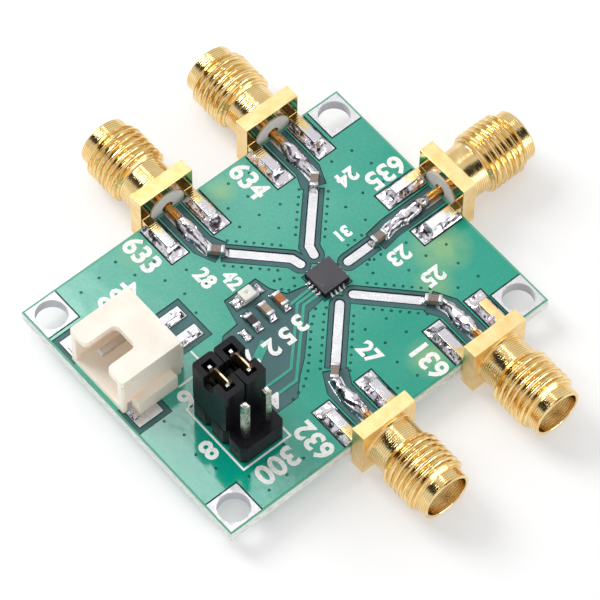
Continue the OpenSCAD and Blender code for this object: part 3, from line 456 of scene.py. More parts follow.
# Tinned copper: pads and strips dipped in solder and levelled with hot air, which leaves a
# bright, slightly uneven skin.
tinned, tree, shader, mm = start_finish("hot_air_levelled_tin", "#e3e3e6", 0.30, 1.0)
uneven = add(tree, "TexNoise", {"Vector": mm, "Scale": 1.3, "Detail": 5, "Roughness": 0.6})
sheen = add(tree, "MapRange",
            {"Value": uneven, "From Min": 0.3, "From Max": 0.7, "To Min": 0.22, "To Max": 0.5})
skin = add(tree, "Bump", {"Height": uneven, "Strength": 0.3, "Distance": 0.03 * MM})
_, dull = patchy(tree, mm, 9.0, 3, (0.33, "#c9c8cc"), (0.5, "#dcdcdf"))
feed(shader, {"Roughness": sheen, "Normal": skin, "Base Color": dull})
for name in ("corner_pads", "leg_pads", "signal_strips", "launch_pads", "component_pads"):
    dress(name, tinned)


# Coaxial jacks: brass turned on a lathe, threaded a quarter inch by 36 and plated with gold.
# One shell is turned, milled and threaded here, and copied to the five ports. The lathe's
# real feed, some 0.05 mm a turn, is too fine to show, so its rings are drawn 0.22 mm apart.
FEED = 0.22
# In millimetres beyond the board's edge
FLANGE_FROM, TURNED_FROM = 0.2, 1.8
WET_UP_TO, DRY_FROM = 0.7, 1.1


def gold_plate(name, along, board_edge, bare_from):
    """Gold plate with the fine rings that the lathe leaves across the jack's axis. Solder
    has wetted the ends of the legs, which lie inside the board's edge, but not the leg of
    jack 1 beyond bare_from."""
    material, tree, shader, mm = start_finish(name, "#fbdca2", 0.15, 1.0)
    stretch = (1.7, 5.0, 1.7) if along == "Y" else (5.0, 1.7, 1.7)
    rings = add(tree, "Mapping", {"Vector": mm, "Scale": stretch})
    torn = add(tree, "TexNoise", {"Vector": rings, "Scale": 1.0, "Detail": 3, "Roughness": 0.65})
    spot = add(tree, "SeparateXYZ", {0: mm})
    inward = add(tree, "Math", {0: spot.outputs[along]}, operation="ABSOLUTE")
    is_turned = add(tree, "Math", {0: inward, 1: board_edge + TURNED_FROM},
                    operation="GREATER_THAN")
    coarse = add(tree, "MapRange", {"Value": is_turned, "To Min": 0.12, "To Max": 0.9})
    dragged = add(tree, "Bump", {"Height": torn, "Strength": coarse, "Distance": 0.030 * MM})
    turned = add(tree, "TexWave",
                 {"Vector": mm, "Scale": math.pi / 10 / FEED, "Distortion": 1.0, "Detail": 1},
                 bands_direction=along)
    lathe = add(tree, "Bump", {"Height": turned.outputs["Fac"], "Strength": 0.8,
                "Distance": 0.006 * MM, "Normal": dragged})
    pits = add(tree, "TexNoise", {"Vector": mm, "Scale": 7.0, "Detail": 3})
    pitted = add(tree, "Bump",
                 {"Height": pits, "Strength": 0.14, "Distance": 0.012 * MM, "Normal": lathe})
    patches, tone = patchy(tree, mm, 0.9, 4, (0.35, "#f3cf8a"), (0.65, "#fce2a8"))
    # Painted shade: on the turned barrel the grooves between the lathe's rings are painted darker
    groove_shade = add(tree, "MapRange", {"Value": turned.outputs["Fac"], "From Min": 0.55,
                 "From Max": 1.0, "To Max": 0.55})
    on_barrel = add(tree, "Math", {0: groove_shade, 1: is_turned}, operation="MULTIPLY")
    groove_shaded = add(tree, "Mix", {"Factor": on_barrel, "A": tone, "B": linear("#b98f48")},
                data_type="RGBA")
    ragged = add(tree, "Math", {0: patches, 1: 5.0}, operation="MULTIPLY")
    edge = add(tree, "Math", {0: inward, 1: ragged}, operation="ADD")
    wetted = add(tree, "MapRange", {"Value": edge, "From Min": board_edge + DRY_FROM,
                 "From Max": board_edge + WET_UP_TO})
    far_leg = add(tree, "Math", {0: spot.outputs["X"], 1: bare_from}, operation="GREATER_THAN")
    front_leg = add(tree, "Math", {0: spot.outputs["Y"], 1: 0.0}, operation="LESS_THAN")
    bare = add(tree, "Math", {0: far_leg, 1: front_leg}, operation="MULTIPLY")
    tinned_end = add(tree, "Math", {0: wetted, 1: bare}, operation="SUBTRACT", use_clamp=True)
    plated = add(tree, "Mix", {"Factor": tinned_end, "A": groove_shaded, "B": linear("#e6e4ea")},
                 data_type="RGBA")
    polish = add(tree, "MapRange", {"Value": patches, "From Min": 0.3, "From Max": 0.7,
                 "To Min": 0.06, "To Max": 0.14})
    # The flange's rim and front are satin, and so is the bare leg
    past_back = add(tree, "Math", {0: inward, 1: board_edge + FLANGE_FROM},
                    operation="GREATER_THAN")
    either = add(tree, "Math", {0: past_back, 1: bare}, operation="MAXIMUM")
    milled = add(tree, "Math", {0: either, 1: is_turned}, operation="SUBTRACT")
    satin = add(tree, "Math", {0: milled, 1: 0.22, 2: polish}, operation="MULTIPLY_ADD")
    feed(shader, {"Normal": pitted, "Base Color": plated, "Roughness": satin})
    return material


def middle_of(node_name, level):
    """The middle of a node's box, at a level."""
    low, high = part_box(node_name)
    return Vector(((low.x + high.x) / 2, (low.y + high.y) / 2, level))


board_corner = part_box("circuit_board")[1] / MM
gold_on_y = gold_plate("gold_plate_turned_on_y", "Y", board_corner.y,
                       middle_of("jack_shell_1", 0).x / MM)
# Jack 5 has no bare leg, so its limit lies at the end of the whole object
gold_on_x = gold_plate("gold_plate_turned_on_x", "X", board_corner.x, solids_box[1].x / MM)

FLANGE_W, FLANGE_T = 6.35 * MM, 1.6 * MM
NECK_R, THREAD_R, ROOT_R = 2.65 * MM, 3.175 * MM, 2.794 * MM
LIP_R, MOUTH_R, BORE_R = 2.675 * MM, 2.3 * MM, 2.05 * MM
THREAD_FROM, THREAD_TO, JACK_END = 3.95 * MM, 8.6 * MM, 9.8 * MM
MOUTH_FLOOR = JACK_END - 1.9 * MM
THREAD_PITCH = 25.4 / 36 * MM
TURNS, BARREL_SIDES = 11, 72
CUT_GAP, CLOSE = 0.0001 * MM, 0.001 * MM
LEG_W, LEG_H, LEG_L, LEG_PITCH = 0.95 * MM, 0.9 * MM, 3.75 * MM, 5.15 * MM
LEG_TOPS = [0.5 * MM, -1.7 * MM]

# One ridge of the thread, with the solids' flat crest and worn shoulders, is swept upward
CREST_HALF, SHOULDER = 0.11 * MM, 0.035 * MM
FLANK_RUN = (THREAD_R - ROOT_R) * math.tan(math.radians(30))
flank = [(CREST_HALF + FLANK_RUN, ROOT_R), (CREST_HALF + 0.6 * SHOULDER, THREAD_R - SHOULDER),
         (CREST_HALF - 0.8 * SHOULDER, THREAD_R - 0.2 * SHOULDER),
         (CREST_HALF - 2 * SHOULDER, THREAD_R)]
FIRST_TURN = THREAD_FROM - 2 * THREAD_PITCH
ridge = [(radius, 0, FIRST_TURN - across) for across, radius in flank]
ridge += [(radius, 0, FIRST_TURN + across) for across, radius in reversed(flank)]
ridge.append((ROOT_R, 0, FIRST_TURN + THREAD_PITCH - flank[0][0]))
profile = bpy.data.meshes.new("thread_profile")
profile.from_pydata(ridge, [(k, k + 1) for k in range(len(ridge) - 1)], [])
barrel = placed("barrel", profile)
modify(barrel, "SCREW", axis="Z", steps=BARREL_SIDES, render_steps=BARREL_SIDES,
       iterations=TURNS, screw_offset=THREAD_PITCH, use_merge_vertices=False)
edit_all()
bpy.ops.mesh.remove_doubles(threshold=MERGE_GAP)
for height, upper in ((THREAD_FROM, False), (THREAD_TO, True)):
    bpy.ops.mesh.select_all(action="SELECT")
    bpy.ops.mesh.bisect(plane_co=(0, 0, height), plane_no=(0, 0, 1),
                        clear_inner=not upper, clear_outer=upper, threshold=CUT_GAP)
to_mode("OBJECT")

# Both ends of the thread are chamfered
END_R, CHAMFER_SLOPE = 2.72 * MM, 1.1
for vertex in barrel.data.vertices:
    spot = vertex.co
    depth = max(0, min(spot.z - THREAD_FROM, THREAD_TO - spot.z))
    radius = math.hypot(spot.x, spot.y)
    most = END_R + CHAMFER_SLOPE * depth
    if radius > most:
        spot.x *= most / radius
        spot.y *= most / radius


def extend(piece, level, rings):
    """Extrudes the open edge at a level through rings of (radius, level)."""
    to_mode("EDIT")
    bpy.ops.mesh.select_mode(type="VERT")
    bpy.ops.mesh.select_all(action="DESELECT")
    bpy.ops.mesh.select_non_manifold()
    to_mode("OBJECT")
    for vertex in piece.data.vertices:
        if abs(vertex.co.z - level) > CLOSE:
            vertex.select = False
    for edge in piece.data.edges:
        edge.select = all(piece.data.vertices[k].select for k in edge.vertices)
    for radius, height in rings:
        to_mode("EDIT")
        bpy.ops.mesh.select_mode(type="EDGE")
        bpy.ops.mesh.extrude_edges_move()
        to_mode("OBJECT")
        for vertex in piece.data.vertices:
            if vertex.select:
                swing = math.atan2(vertex.co.y, vertex.co.x)
                vertex.co = (radius * math.cos(swing), radius * math.sin(swing), height)


LIP_ROUND, NECK_FILLET, FLANGE_ROUND = 0.16 * MM, 0.25 * MM, 0.07 * MM
BACK = 0.15 * MM
extend(barrel, THREAD_TO, [
    (LIP_R - 0.02 * MM, THREAD_TO), (LIP_R, THREAD_TO + 0.06 * MM),
    (LIP_R, THREAD_TO + 0.10 * MM), (LIP_R, JACK_END - LIP_ROUND - 0.04 * MM),
    (LIP_R, JACK_END - LIP_ROUND), (LIP_R - 0.05 * MM, JACK_END - 0.05 * MM),
    (LIP_R - LIP_ROUND, JACK_END), (MOUTH_R + 0.07 * MM, JACK_END),
    (MOUTH_R, JACK_END - 0.07 * MM), (MOUTH_R, JACK_END - 0.12 * MM), (MOUTH_R, MOUTH_FLOOR),
    (BORE_R, MOUTH_FLOOR), (BORE_R, BACK)])
extend(barrel, THREAD_FROM, [
    (NECK_R + 0.03 * MM, THREAD_FROM), (NECK_R, THREAD_FROM - 0.05 * MM),
    (NECK_R, THREAD_FROM - 0.10 * MM), (NECK_R, FLANGE_T + NECK_FILLET + 0.05 * MM),
    (NECK_R, FLANGE_T + NECK_FILLET), (NECK_R + 0.08 * MM, FLANGE_T + 0.07 * MM),
    (NECK_R + NECK_FILLET, FLANGE_T - 0.01 * MM), (NECK_R, FLANGE_T - 0.3 * MM),
    (NECK_R, BACK)])
to_mode("EDIT")
bpy.ops.mesh.select_mode(type="EDGE")
bpy.ops.mesh.select_all(action="DESELECT")
bpy.ops.mesh.select_non_manifold()
bpy.ops.mesh.bridge_edge_loops()
bpy.ops.mesh.select_all(action="SELECT")
bpy.ops.mesh.normals_make_consistent(inside=False)
to_mode("OBJECT")


def block(name, middle, size):
    """A box with this middle and these three sizes."""
    only()
    bpy.ops.mesh.primitive_cube_add(size=1)
    box = bpy.context.object
    box.name = name
    box.data.transform(Matrix.Translation(middle) @ Matrix.Diagonal((*size, 1)))
    return box


def shade_evenly(piece, angle):
    """Smooth shading over the rounded edges that keeps the large faces flat."""
    only(piece)
    bpy.ops.object.shade_smooth_by_angle(angle=math.radians(angle))
    modify(piece, "WEIGHTED_NORMAL", keep_sharp=True)


def merge_in(piece, other, operation):
    """Joins or cuts a piece with another solid, which is used up."""
    modify(piece, "BOOLEAN", operation=operation, solver="EXACT", object=other)
    bpy.data.objects.remove(other)


# The flange is a milled square plate with four legs that straddle the board
flange = block("flange", (0, 0, FLANGE_T / 2), (FLANGE_W, FLANGE_W, FLANGE_T))
length = LEG_L + FLANGE_T / 2
for side in (-1, 1):
    for leg_top in LEG_TOPS:
        middle = (side * LEG_PITCH / 2, leg_top - LEG_H / 2, FLANGE_T / 2 - length / 2)
        merge_in(flange, block("leg", middle, (LEG_W, LEG_H, length)), "UNION")
only()
bpy.ops.mesh.primitive_cylinder_add(radius=BORE_R, depth=4 * FLANGE_T,
                                    vertices=BARREL_SIDES)
merge_in(flange, bpy.context.object, "DIFFERENCE")
modify(flange, "BEVEL", width=FLANGE_ROUND, segments=2, limit_method="ANGLE",
       angle_limit=math.radians(50))
merge_in(barrel, flange, "UNION")
edit_all()
bpy.ops.mesh.remove_doubles(threshold=CLOSE)
shade_evenly(barrel, 38)

# Every port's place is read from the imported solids: the way its jack points, the middle of
# its axis and the back of its flange
PORTS = []
for number in range(1, 6):
    low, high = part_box("jack_shell_%d" % number)
    middle = (low + high) / 2
    if number == 5:
        out, back = Vector((1, 0, 0)), Vector((high.x - JACK_END, middle.y, 0))
    elif number < 3:
        out, back = Vector((0, -1, 0)), Vector((middle.x, low.y + JACK_END, 0))
    else:
        out, back = Vector((0, 1, 0)), Vector((middle.x, high.y - JACK_END, 0))
    back.z = low.z + THREAD_R
    PORTS.append((out, back))

# The insulator is turned fluoropolymer: waxy white, and a little light goes into it
white_fluoropolymer, tree, shader, mm = start_finish("white_fluoropolymer", "#dcdcda", 0.45)
_, milky = patchy(tree, mm, 1.8, 4, (0.0, "#cfcfce"), (1.0, "#e9e9e6"))
feed(shader, {"Base Color": milky, "Subsurface Weight": 0.15, "Subsurface Scale": 0.4 * MM})

# The contact's gold is painted darker and more orange than the jacks' gold, painted shade, and
# varies in warmer patches
painted_shade_pin_gold, tree, shader, mm = start_finish("painted_shade_pin_gold_on_copper_pin", "#d59a50", 0.26, 1.0)
_, tone = patchy(tree, mm, 2.5, 4, (0.35, "#c07c3a"), (0.65, "#dfae66"))
feed(shader, {"Base Color": tone})

for number, (out, back) in enumerate(PORTS, 1):
    sideways = Vector((0, 0, 1)).cross(out)
    turn = Matrix((sideways, Vector((0, 0, 1)), out)).transposed().to_4x4()
    shell = placed("threaded_jack_%d" % number, barrel.data.copy())
    shell.data.transform(Matrix.Translation(back) @ turn)
    plate = gold_on_x if number == 5 else gold_on_y
    settle(shell, plate, "gold", "jack_shell_%d" % number)
    dress("jack_insulator_%d" % number, white_fluoropolymer)
    dress("jack_contact_%d" % number, painted_shade_pin_gold)
bpy.data.objects.remove(barrel)


# Solder: tin alloy that wetted the legs and the pins, drew up their sides and froze in
# lumps. It is bright, and its small dark and light patches are painted reflections of the room.
solder, tree, shader, mm = start_finish("frozen_solder", "#dedde3", 0.16, 1.0)
lumps = add(tree, "TexNoise", {"Vector": mm, "Scale": 1.2, "Detail": 1, "Roughness": 0.4})
froze = add(tree, "Bump", {"Height": lumps, "Strength": 0.36, "Distance": 0.14 * MM})
# Painted reflection: dark and light patches of the room in the base colour
_, painted_reflections = patchy(tree, mm, 0.95, 3, (0.33, "#4a4449"), (0.50, "#e9e4ec"), Roughness=0.55,
                  Distortion=0.8)
feed(shader, {"Normal": froze, "Base Color": painted_reflections})

PAD_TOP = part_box("leg_pads")[1].z
PAD_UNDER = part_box("leg_pads")[0].z
CELL, BARE_BELOW = 0.06 * MM, 0.02 * MM


def solder_skin(origin, along, length, width, height, under=False):
    """A skin of solder on a pad: a grid over length and width, raised by height(u, v) in
    metres, with the cells that stay bare cut away."""
    only()
    columns, rows = round(length / CELL), round(width / CELL)
    bpy.ops.mesh.primitive_grid_add(x_subdivisions=columns, y_subdivisions=rows, size=1)
    skin = bpy.context.object
    raised = [height((vertex.co.x + 0.5) * length, vertex.co.y * width)
              for vertex in skin.data.vertices]
    spots = [(vertex.co.x, vertex.co.y) for vertex in skin.data.vertices]
    pick(skin, lambda face: max(raised[k] for k in face.vertices) < BARE_BELOW)
    bpy.ops.mesh.delete(type="FACE")
    bpy.ops.mesh.select_all(action="SELECT")
    bpy.ops.mesh.extrude_region()
    to_mode("OBJECT")
    levels = {(round(x, 5), round(y, 5)): level for (x, y), level in zip(spots, raised)}
    side = Vector((-along.y, along.x, 0))
    for vertex in skin.data.vertices:
        x, y = vertex.co.x, vertex.co.y
        lift = levels[round(x, 5), round(y, 5)] if vertex.select else 0
        spot = origin + along * (x + 0.5) * length + side * y * width
        vertex.co = (spot.x, spot.y, PAD_UNDER - lift if under else PAD_TOP + lift)
    edit_all()
    bpy.ops.mesh.normals_make_consistent(inside=False)
    to_mode("OBJECT")
    bpy.ops.object.shade_smooth_by_angle(angle=math.radians(60))
    return skin


def rough_noise(x, y, seed, size):
    """Smooth noise from -1 to 1 with bumps of a size, in metres."""
    return noise.noise(Vector((x / size + 17.3 * seed, y / size - 5.1 * seed, 2.7 * seed)))


def thin_out(inset, reach):
    """How full a skin of solder is at a distance from its border, from 0 to 1."""
    return max(0, min(1, inset / reach))


PAD_L, PAD_W, PLANE_MARGIN, EDGE_GAP = 4.95 * MM, 2.0 * MM, 0.22 * MM, 0.15 * MM
LEG_END = LEG_L - EDGE_GAP
DRAWN_UP, RUN_OUT, LEG_SKIN, PLANE_LAP = 0.62 * MM, 0.36 * MM, 0.05 * MM, 0.1 * MM


def leg_solder(seed):
    """Solder that covers a leg's pad and draws up along the leg."""
    def height(u, v):
        u += PLANE_MARGIN
        away = math.hypot(max(u - LEG_END, 0), max(abs(v) - LEG_W / 2, 0))
        lump = 0.95 + 0.65 * rough_noise(u, v, seed, 0.75 * MM)
        rise = DRAWN_UP * math.exp(-(away / RUN_OUT) ** 1.15) * lump
        rise += LEG_SKIN * (0.4 + rough_noise(u, v, seed + 3, 0.45 * MM))
        inset = min(PAD_L - u, PAD_W / 2 - abs(v), u - PLANE_MARGIN + PLANE_LAP)
        return rise * thin_out(inset, 0.14 * MM)
    return height


for number, (out, back) in enumerate(PORTS, 1):
    sideways = Vector((-out.y, out.x, 0))
    edge = back - out * EDGE_GAP
    pools = []
    for side in (-1, 1):
        for under in (False, True):
            seed = number * 4 + side + (7 if under else 0)
            start = edge + sideways * side * LEG_PITCH / 2 - out * PLANE_MARGIN
            pools.append(solder_skin(start, -out, PAD_L - PLANE_MARGIN, PAD_W,
                                     leg_solder(seed), under))
    settle(joined(pools, "leg_solder_%d" % number), solder, "tin")

# The lump that joins a jack's centre pin to the capacitor runs down the launch pad and
# turns with it
CHIP = middle_of("switch_chip", PAD_TOP)
SMALL_L, BARE_PIN = 1.6 * MM, 1.75 * MM
COMMON_START = Vector((2.8, 0.2, 0)) * MM
FRONT_START_X, FRONT_START_Y = 0.83 * MM, -2.85 * MM
BACK_START_X, BACK_START_Y = 1.08 * MM, 3.85 * MM
CAPACITORS = []
for number in range(1, 6):
    centre = middle_of("blocking_capacitor_%d" % number, PAD_TOP)
    beside = centre.x - CHIP.x
    if number == 5:
        start = CHIP + COMMON_START
    elif number < 3:
        start = CHIP + Vector((math.copysign(FRONT_START_X, beside), FRONT_START_Y, 0))
    else:
        start = CHIP + Vector((math.copysign(BACK_START_X, beside), BACK_START_Y, 0))
    CAPACITORS.append((centre, (centre - start).normalized()))


def nearest(point, line):
    """Distance from a line of points, and how far along it, from 0 to 1."""
    total = sum((b - a).length for a, b in zip(line, line[1:]))
    best, done = (math.inf, 0), 0
    for a, b in zip(line, line[1:]):
        span = b - a
        share = max(0, min(1, (point - a).dot(span) / span.length_squared))
        away = (point - a - span * share).length
        if away < best[0]:
            best = (away, (done + span.length * share) / total)
        done += span.length
    return best


CAP_LAP, BEND_BEFORE, LUMP_BEFORE = 0.1 * MM, 1.2 * MM, 0.3 * MM
LUMP_PAST, LUMP_HALF = 0.25 * MM, 0.95 * MM
SLIM, SWOLLEN, TALL, LOWERED = 0.50 * MM, 0.30 * MM, 1.12 * MM, 0.55 * MM
for number, (out, back) in enumerate(PORTS, 1):
    centre, run = CAPACITORS[number - 1]
    begin = back - out * BARE_PIN
    begin.z = PAD_TOP
    cap_end = centre + run * (SMALL_L / 2 - CAP_LAP)
    reach = (cap_end - back).dot(-out)
    bend = back - out * (reach - BEND_BEFORE)
    bend.z = PAD_TOP
    line = [begin, bend, cap_end]
    origin = begin + out * LUMP_BEFORE
    whole_way = cap_end - origin
    inward = whole_way.dot(-out)
    length = inward + LUMP_PAST
    width = 2 * ((whole_way + out * inward).length + LUMP_HALF)
    sideways = Vector((out.y, -out.x, 0))

    def height(u, v, line=line, origin=origin, out=out, sideways=sideways, seed=number + 40):
        point = origin - out * u + sideways * v
        away, along = nearest(point, line)
        wide = SLIM + SWOLLEN * math.sin(math.pi * min(1, 1.3 * along))
        wide *= 1 + 0.16 * rough_noise(point.x, point.y, seed, 0.8 * MM)
        if away >= wide:
            return 0
        tall = (TALL - LOWERED * along) * min(1, 0.7 + 3.5 * along)
        tall *= 1 + 0.22 * rough_noise(point.x, point.y, seed + 2, 0.9 * MM)
        return tall * math.sqrt(1 - (away / wide) ** 2)

    lump = solder_skin(origin, -out, length, width, height)
    settle(lump, solder, "tin")
    lump.name = "pin_solder_%d" % number


# Capacitors and the resistor: blocks of fired ceramic with tinned ends, 1.6 mm long. Solder
# holds each by its ends on two pads.
def rounded(node_name, name, width, material, slot_name, body="board", segments=2):
    """Puts a piece whose edges are rounded, as moulding or tumbling leaves them, in the place
    of a CAD node."""
    piece = copied(node_name, name)
    edit_all()
    bpy.ops.mesh.dissolve_limited(angle_limit=math.radians(1))
    modify(piece, "BEVEL", width=width, segments=segments, limit_method="ANGLE",
           angle_limit=math.radians(40))
    shade_evenly(piece, 35)
    settle(piece, material, slot_name, node_name, body=body)
    return piece


def fired_ceramic(name, dark, light):
    """A fired ceramic or a filled laminate: matte, faintly speckled."""
    material, tree, shader, mm = start_finish(name, light, 0.42)
    speckle, tone = patchy(tree, mm, 6, 4, (0.35, dark), (0.65, light))
    rough = add(tree, "Bump", {"Height": speckle, "Strength": 0.2, "Distance": 0.02 * MM})
    feed(shader, {"Base Color": tone, "Normal": rough})
    return material


# Each kind of capacitor has the colour of its own ceramic, and the resistor a black glaze
taupe_ceramic = fired_ceramic("taupe_ceramic", "#7b6b60", "#93837a")
orange_ceramic = fired_ceramic("orange_ceramic", "#9c5a30", "#b9713f")
beige_ceramic = fired_ceramic("beige_ceramic", "#97806c", "#ad9a86")
black_ceramic = fired_ceramic("black_glaze_on_alumina", "#1c1c20", "#2c2c30")
BLOCK_ROUND, END_ROUND = 0.04 * MM, 0.035 * MM
for number in range(1, 6):
    rounded("blocking_capacitor_%d" % number, "capacitor_body_%d" % number, BLOCK_ROUND,
            taupe_ceramic, "ceramic")
for node_name, material, slot_name in (
        ("supply_capacitor_1", orange_ceramic, "ceramic_orange"),
        ("supply_capacitor_2", beige_ceramic, "ceramic_beige"),
        ("lamp_resistor", black_ceramic, "moulding_black")):
    rounded(node_name, node_name + "_body", BLOCK_ROUND, material, slot_name)
for node_name in ("blocking_capacitor_ends", "supply_capacitor_ends", "lamp_resistor_ends"):
    rounded(node_name, node_name + "_rounded", END_ROUND, tinned, "tin")


def end_fillet(start, way, length, width, tall, seed):
    """Solder that slopes from a metal end down onto its pad."""
    def height(u, v):
        lump = 1 + 0.5 * rough_noise(u, v, seed, 0.35 * MM)
        slope = tall * math.exp(-u / (0.5 * length)) * lump
        rest = END_SKIN * (1 + rough_noise(u, v, seed + 2, 0.25 * MM))
        return (slope + rest) * thin_out(min(length - u, width / 2 - abs(v)), 0.10 * MM)
    return solder_skin(start, way, length, width, height)


END_L, END_W, END_H, END_SKIN = 0.42 * MM, 0.84 * MM, 0.55 * MM, 0.07 * MM
ROW_END, ROW_L, ROW_W = 0.72 * MM, 0.52 * MM, 0.86 * MM
RESISTOR_H, SUPPLY_H = 0.36 * MM, 0.58 * MM
fillets = []
for number, (centre, run) in enumerate(CAPACITORS, 1):
    fillets.append(end_fillet(centre - run * SMALL_L / 2, -run, END_L, END_W, END_H, number))
row_step = (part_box("supply_capacitor_1")[0].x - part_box("lamp_resistor")[0].x) / 2
for k in range(3):
    middle = middle_of("lamp_resistor", PAD_TOP) + Vector((k * row_step, 0, 0))
    for side in (-1, 1):
        way = Vector((0, side, 0))
        tall = RESISTOR_H if k == 0 else SUPPLY_H
        fillets.append(end_fillet(middle + way * ROW_END, way, ROW_L, ROW_W, tall,
                                  20 + 2 * k + side))
SPARE_PAD = Vector((-4.875 * MM, -0.05 * MM, PAD_TOP))
SPARE_L, SPARE_W, WAIST, FLARE = 1.3 * MM, 0.9 * MM, 0.27 * MM, 0.16 * MM
SPARE_H, SPARE_LUMP = 0.16 * MM, 0.10 * MM


def spare_pad_solder(u, v):
    """A flat lump with a waist, on the pad that no part stands on."""
    end = abs(u / SPARE_L - 0.5) * 2
    inset = min(SPARE_L / 2 * (1 - end), WAIST + FLARE * end - abs(v))
    lump = SPARE_H + SPARE_LUMP * rough_noise(u, v, 61, 0.4 * MM)
    return lump * thin_out(inset, 0.12 * MM)


fillets.append(solder_skin(SPARE_PAD - Vector((0, SPARE_L / 2, 0)), Vector((0, 1, 0)),
                           SPARE_L, SPARE_W, spare_pad_solder))
settle(joined(fillets, "small_part_solder"), solder, "tin")

# Lamp: a white laminate base, soldered at both ends, under a block of milky resin in which
# the die shows as a small dark dot.
DIE_R, DIE_BLUR = 0.05, 0.14
LENS_ROUND, BASE_ROUND = 0.06 * MM, 0.03 * MM
resin, tree, shader, mm = start_finish("milky_resin", "#eceae2", 0.22)
_, cloud = patchy(tree, mm, 2.5, 3, (0.0, "#d8d6cc"), (1.0, "#f4f2ec"))
die = middle_of("status_lamp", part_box("status_lamp")[1].z)
from_die = add(tree, "VectorMath", {0: mm, 1: die / MM}, operation="DISTANCE")
clear = add(tree, "MapRange", {"Value": from_die, "From Min": DIE_R, "From Max": DIE_BLUR})
with_die = add(tree, "Mix", {"Factor": clear, "A": linear("#6f6b64"), "B": cloud},
               data_type="RGBA")
feed(shader, {"Base Color": with_die, "Subsurface Weight": 0.2, "Subsurface Scale": 0.3 * MM})
rounded("status_lamp", "lamp_lens", LENS_ROUND, resin, "lamp_lens")
white_laminate = fired_ceramic("white_laminate", "#cfccc2", "#e6e3da")
rounded("status_lamp_base", "lamp_base", BASE_ROUND, white_laminate, "lamp_base")
LAMP_L, LAMP_W, LAMP_H, LAMP_UNDER = 0.88 * MM, 1.16 * MM, 0.42 * MM, 0.18 * MM
low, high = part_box("status_lamp_base")
fillets = []
for side in (-1, 1):
    way = Vector((side, 0, 0))
    start = Vector(((high.x if side > 0 else low.x) - side * LAMP_UNDER,
                    (low.y + high.y) / 2, PAD_TOP))
    fillets.append(end_fillet(start, way, LAMP_L, LAMP_W, LAMP_H, 31 + side))
settle(joined(fillets, "lamp_solder"), solder, "tin")


# Switch chip: black epoxy moulding compound filled with silica, with sixteen tinned
# terminals along its lower edges.
def black_moulding(name, dark, light, roughness, grain, gloss):
    """Black moulded plastic with the fine grain of its mould. Its glass or silica filling
    leaves less gloss than a clear plastic has."""
    material, tree, shader, mm = start_finish(name, dark, roughness)
    pebbles, tone = patchy(tree, mm, grain, 5, (0.35, dark), (0.7, light), Roughness=0.6)
    texture = add(tree, "Bump", {"Height": pebbles, "Strength": 0.35, "Distance": 0.02 * MM})
    sheen = add(tree, "MapRange", {"Value": pebbles, "From Min": 0.3, "From Max": 0.7,
                "To Min": roughness - 0.08, "To Max": roughness + 0.1})
    feed(shader, {"Specular IOR Level": gloss, "Base Color": tone, "Normal": texture,
         "Roughness": sheen})
    return material


# The moulded top is grey with silica, and the sides are painted darker, painted shade
chip_compound = black_moulding("silica_filled_epoxy", "#47464b", "#57555b", 0.5, 9.0, 0.3)
side_epoxy_painted_shade = black_moulding("side_epoxy_painted_shade", "#121215", "#1d1d21", 0.45, 9.0, 0.2)
CHIP_HALF, CHIP_PITCH, CHIP_ROUND = 1.5 * MM, 0.5 * MM, 0.035 * MM
piece = rounded("switch_chip", "chip_body", CHIP_ROUND, chip_compound, "moulding_black",
                segments=1)
bpy.ops.object.shade_flat()
# The sides get the darker copy of the compound, painted shade
piece.data.materials.append(side_epoxy_painted_shade)
for face in piece.data.polygons:
    face.material_index = 0 if face.normal.z > 0.6 else 1
dress("chip_terminals", tinned)
TOE_L, TOE_W, TOE_H, TOE_UNDER = 0.42 * MM, 0.30 * MM, 0.26 * MM, 0.02 * MM
toes = []
for quarter in range(4):
    way = Vector((math.cos(quarter * math.pi / 2), math.sin(quarter * math.pi / 2), 0))
    sideways = Vector((-way.y, way.x, 0))
    for k in range(4):
        start = CHIP + way * (CHIP_HALF - TOE_UNDER) + sideways * (k - 1.5) * CHIP_PITCH
        toes.append(end_fillet(start, way, TOE_L, TOE_W, TOE_H, 90 + 4 * quarter + k))
settle(joined(toes, "chip_solder"), solder, "tin")


# Print: white epoxy ink. The outlines come from the solids, and plain numbers stand beside
# them.
ink, tree, shader, mm = start_finish("white_epoxy_ink", "#f3f4f1", 0.5)
_, chalk = patchy(tree, mm, 3.0, 5, (0.3, "#d9e2dd"), (0.5, "#f6f7f4"))
feed(shader, {"Base Color": chalk})
dress("silkscreen", ink)

INK_T, STROKE = 0.03 * MM, 0.09 * MM
DIGIT_SHARE = 0.7
NUMBERS = [
    # digits, x and y of their middle in mm, their height in mm and the way they read
    ("631", 6.6, -13.1, 2.0, 90), ("632", -7.2, -12.8, 2.0, 90),
    ("633", -6.9, 13.0, 2.0, -90), ("634", 6.2, 12.9, 2.0, -90),
    ("635", 16.9, 5.3, 2.0, 180),
    ("24", 13.8, 7.3, 1.5, 180), ("31", 9.3, 2.7, 1.2, 180), ("23", 11.8, -2.6, 1.6, 180),
    ("25", 12.8, -6.4, 1.6, 180), ("27", 2.7, -8.9, 1.6, -90), ("28", -3.9, 7.2, 1.5, -90),
    ("42", -2.1, 5.4, 1.4, -90), ("400", -11.4, 10.9, 2.0, 180),
    ("8", -15.4, -7.2, 2.0, 180), ("300", -11.6, -12.5, 2.1, 180), ("4", -7.3, -6.9, 1.9, 180),
    ("6", -13.5, -1.7, 1.9, 180), ("7", -6.2, -2.1, 1.8, 180), ("2", -3.9, -2.6, 1.8, 180),
    ("5", -2.0, -2.5, 1.8, 180), ("3", -0.2, -2.2, 1.8, 180),
]


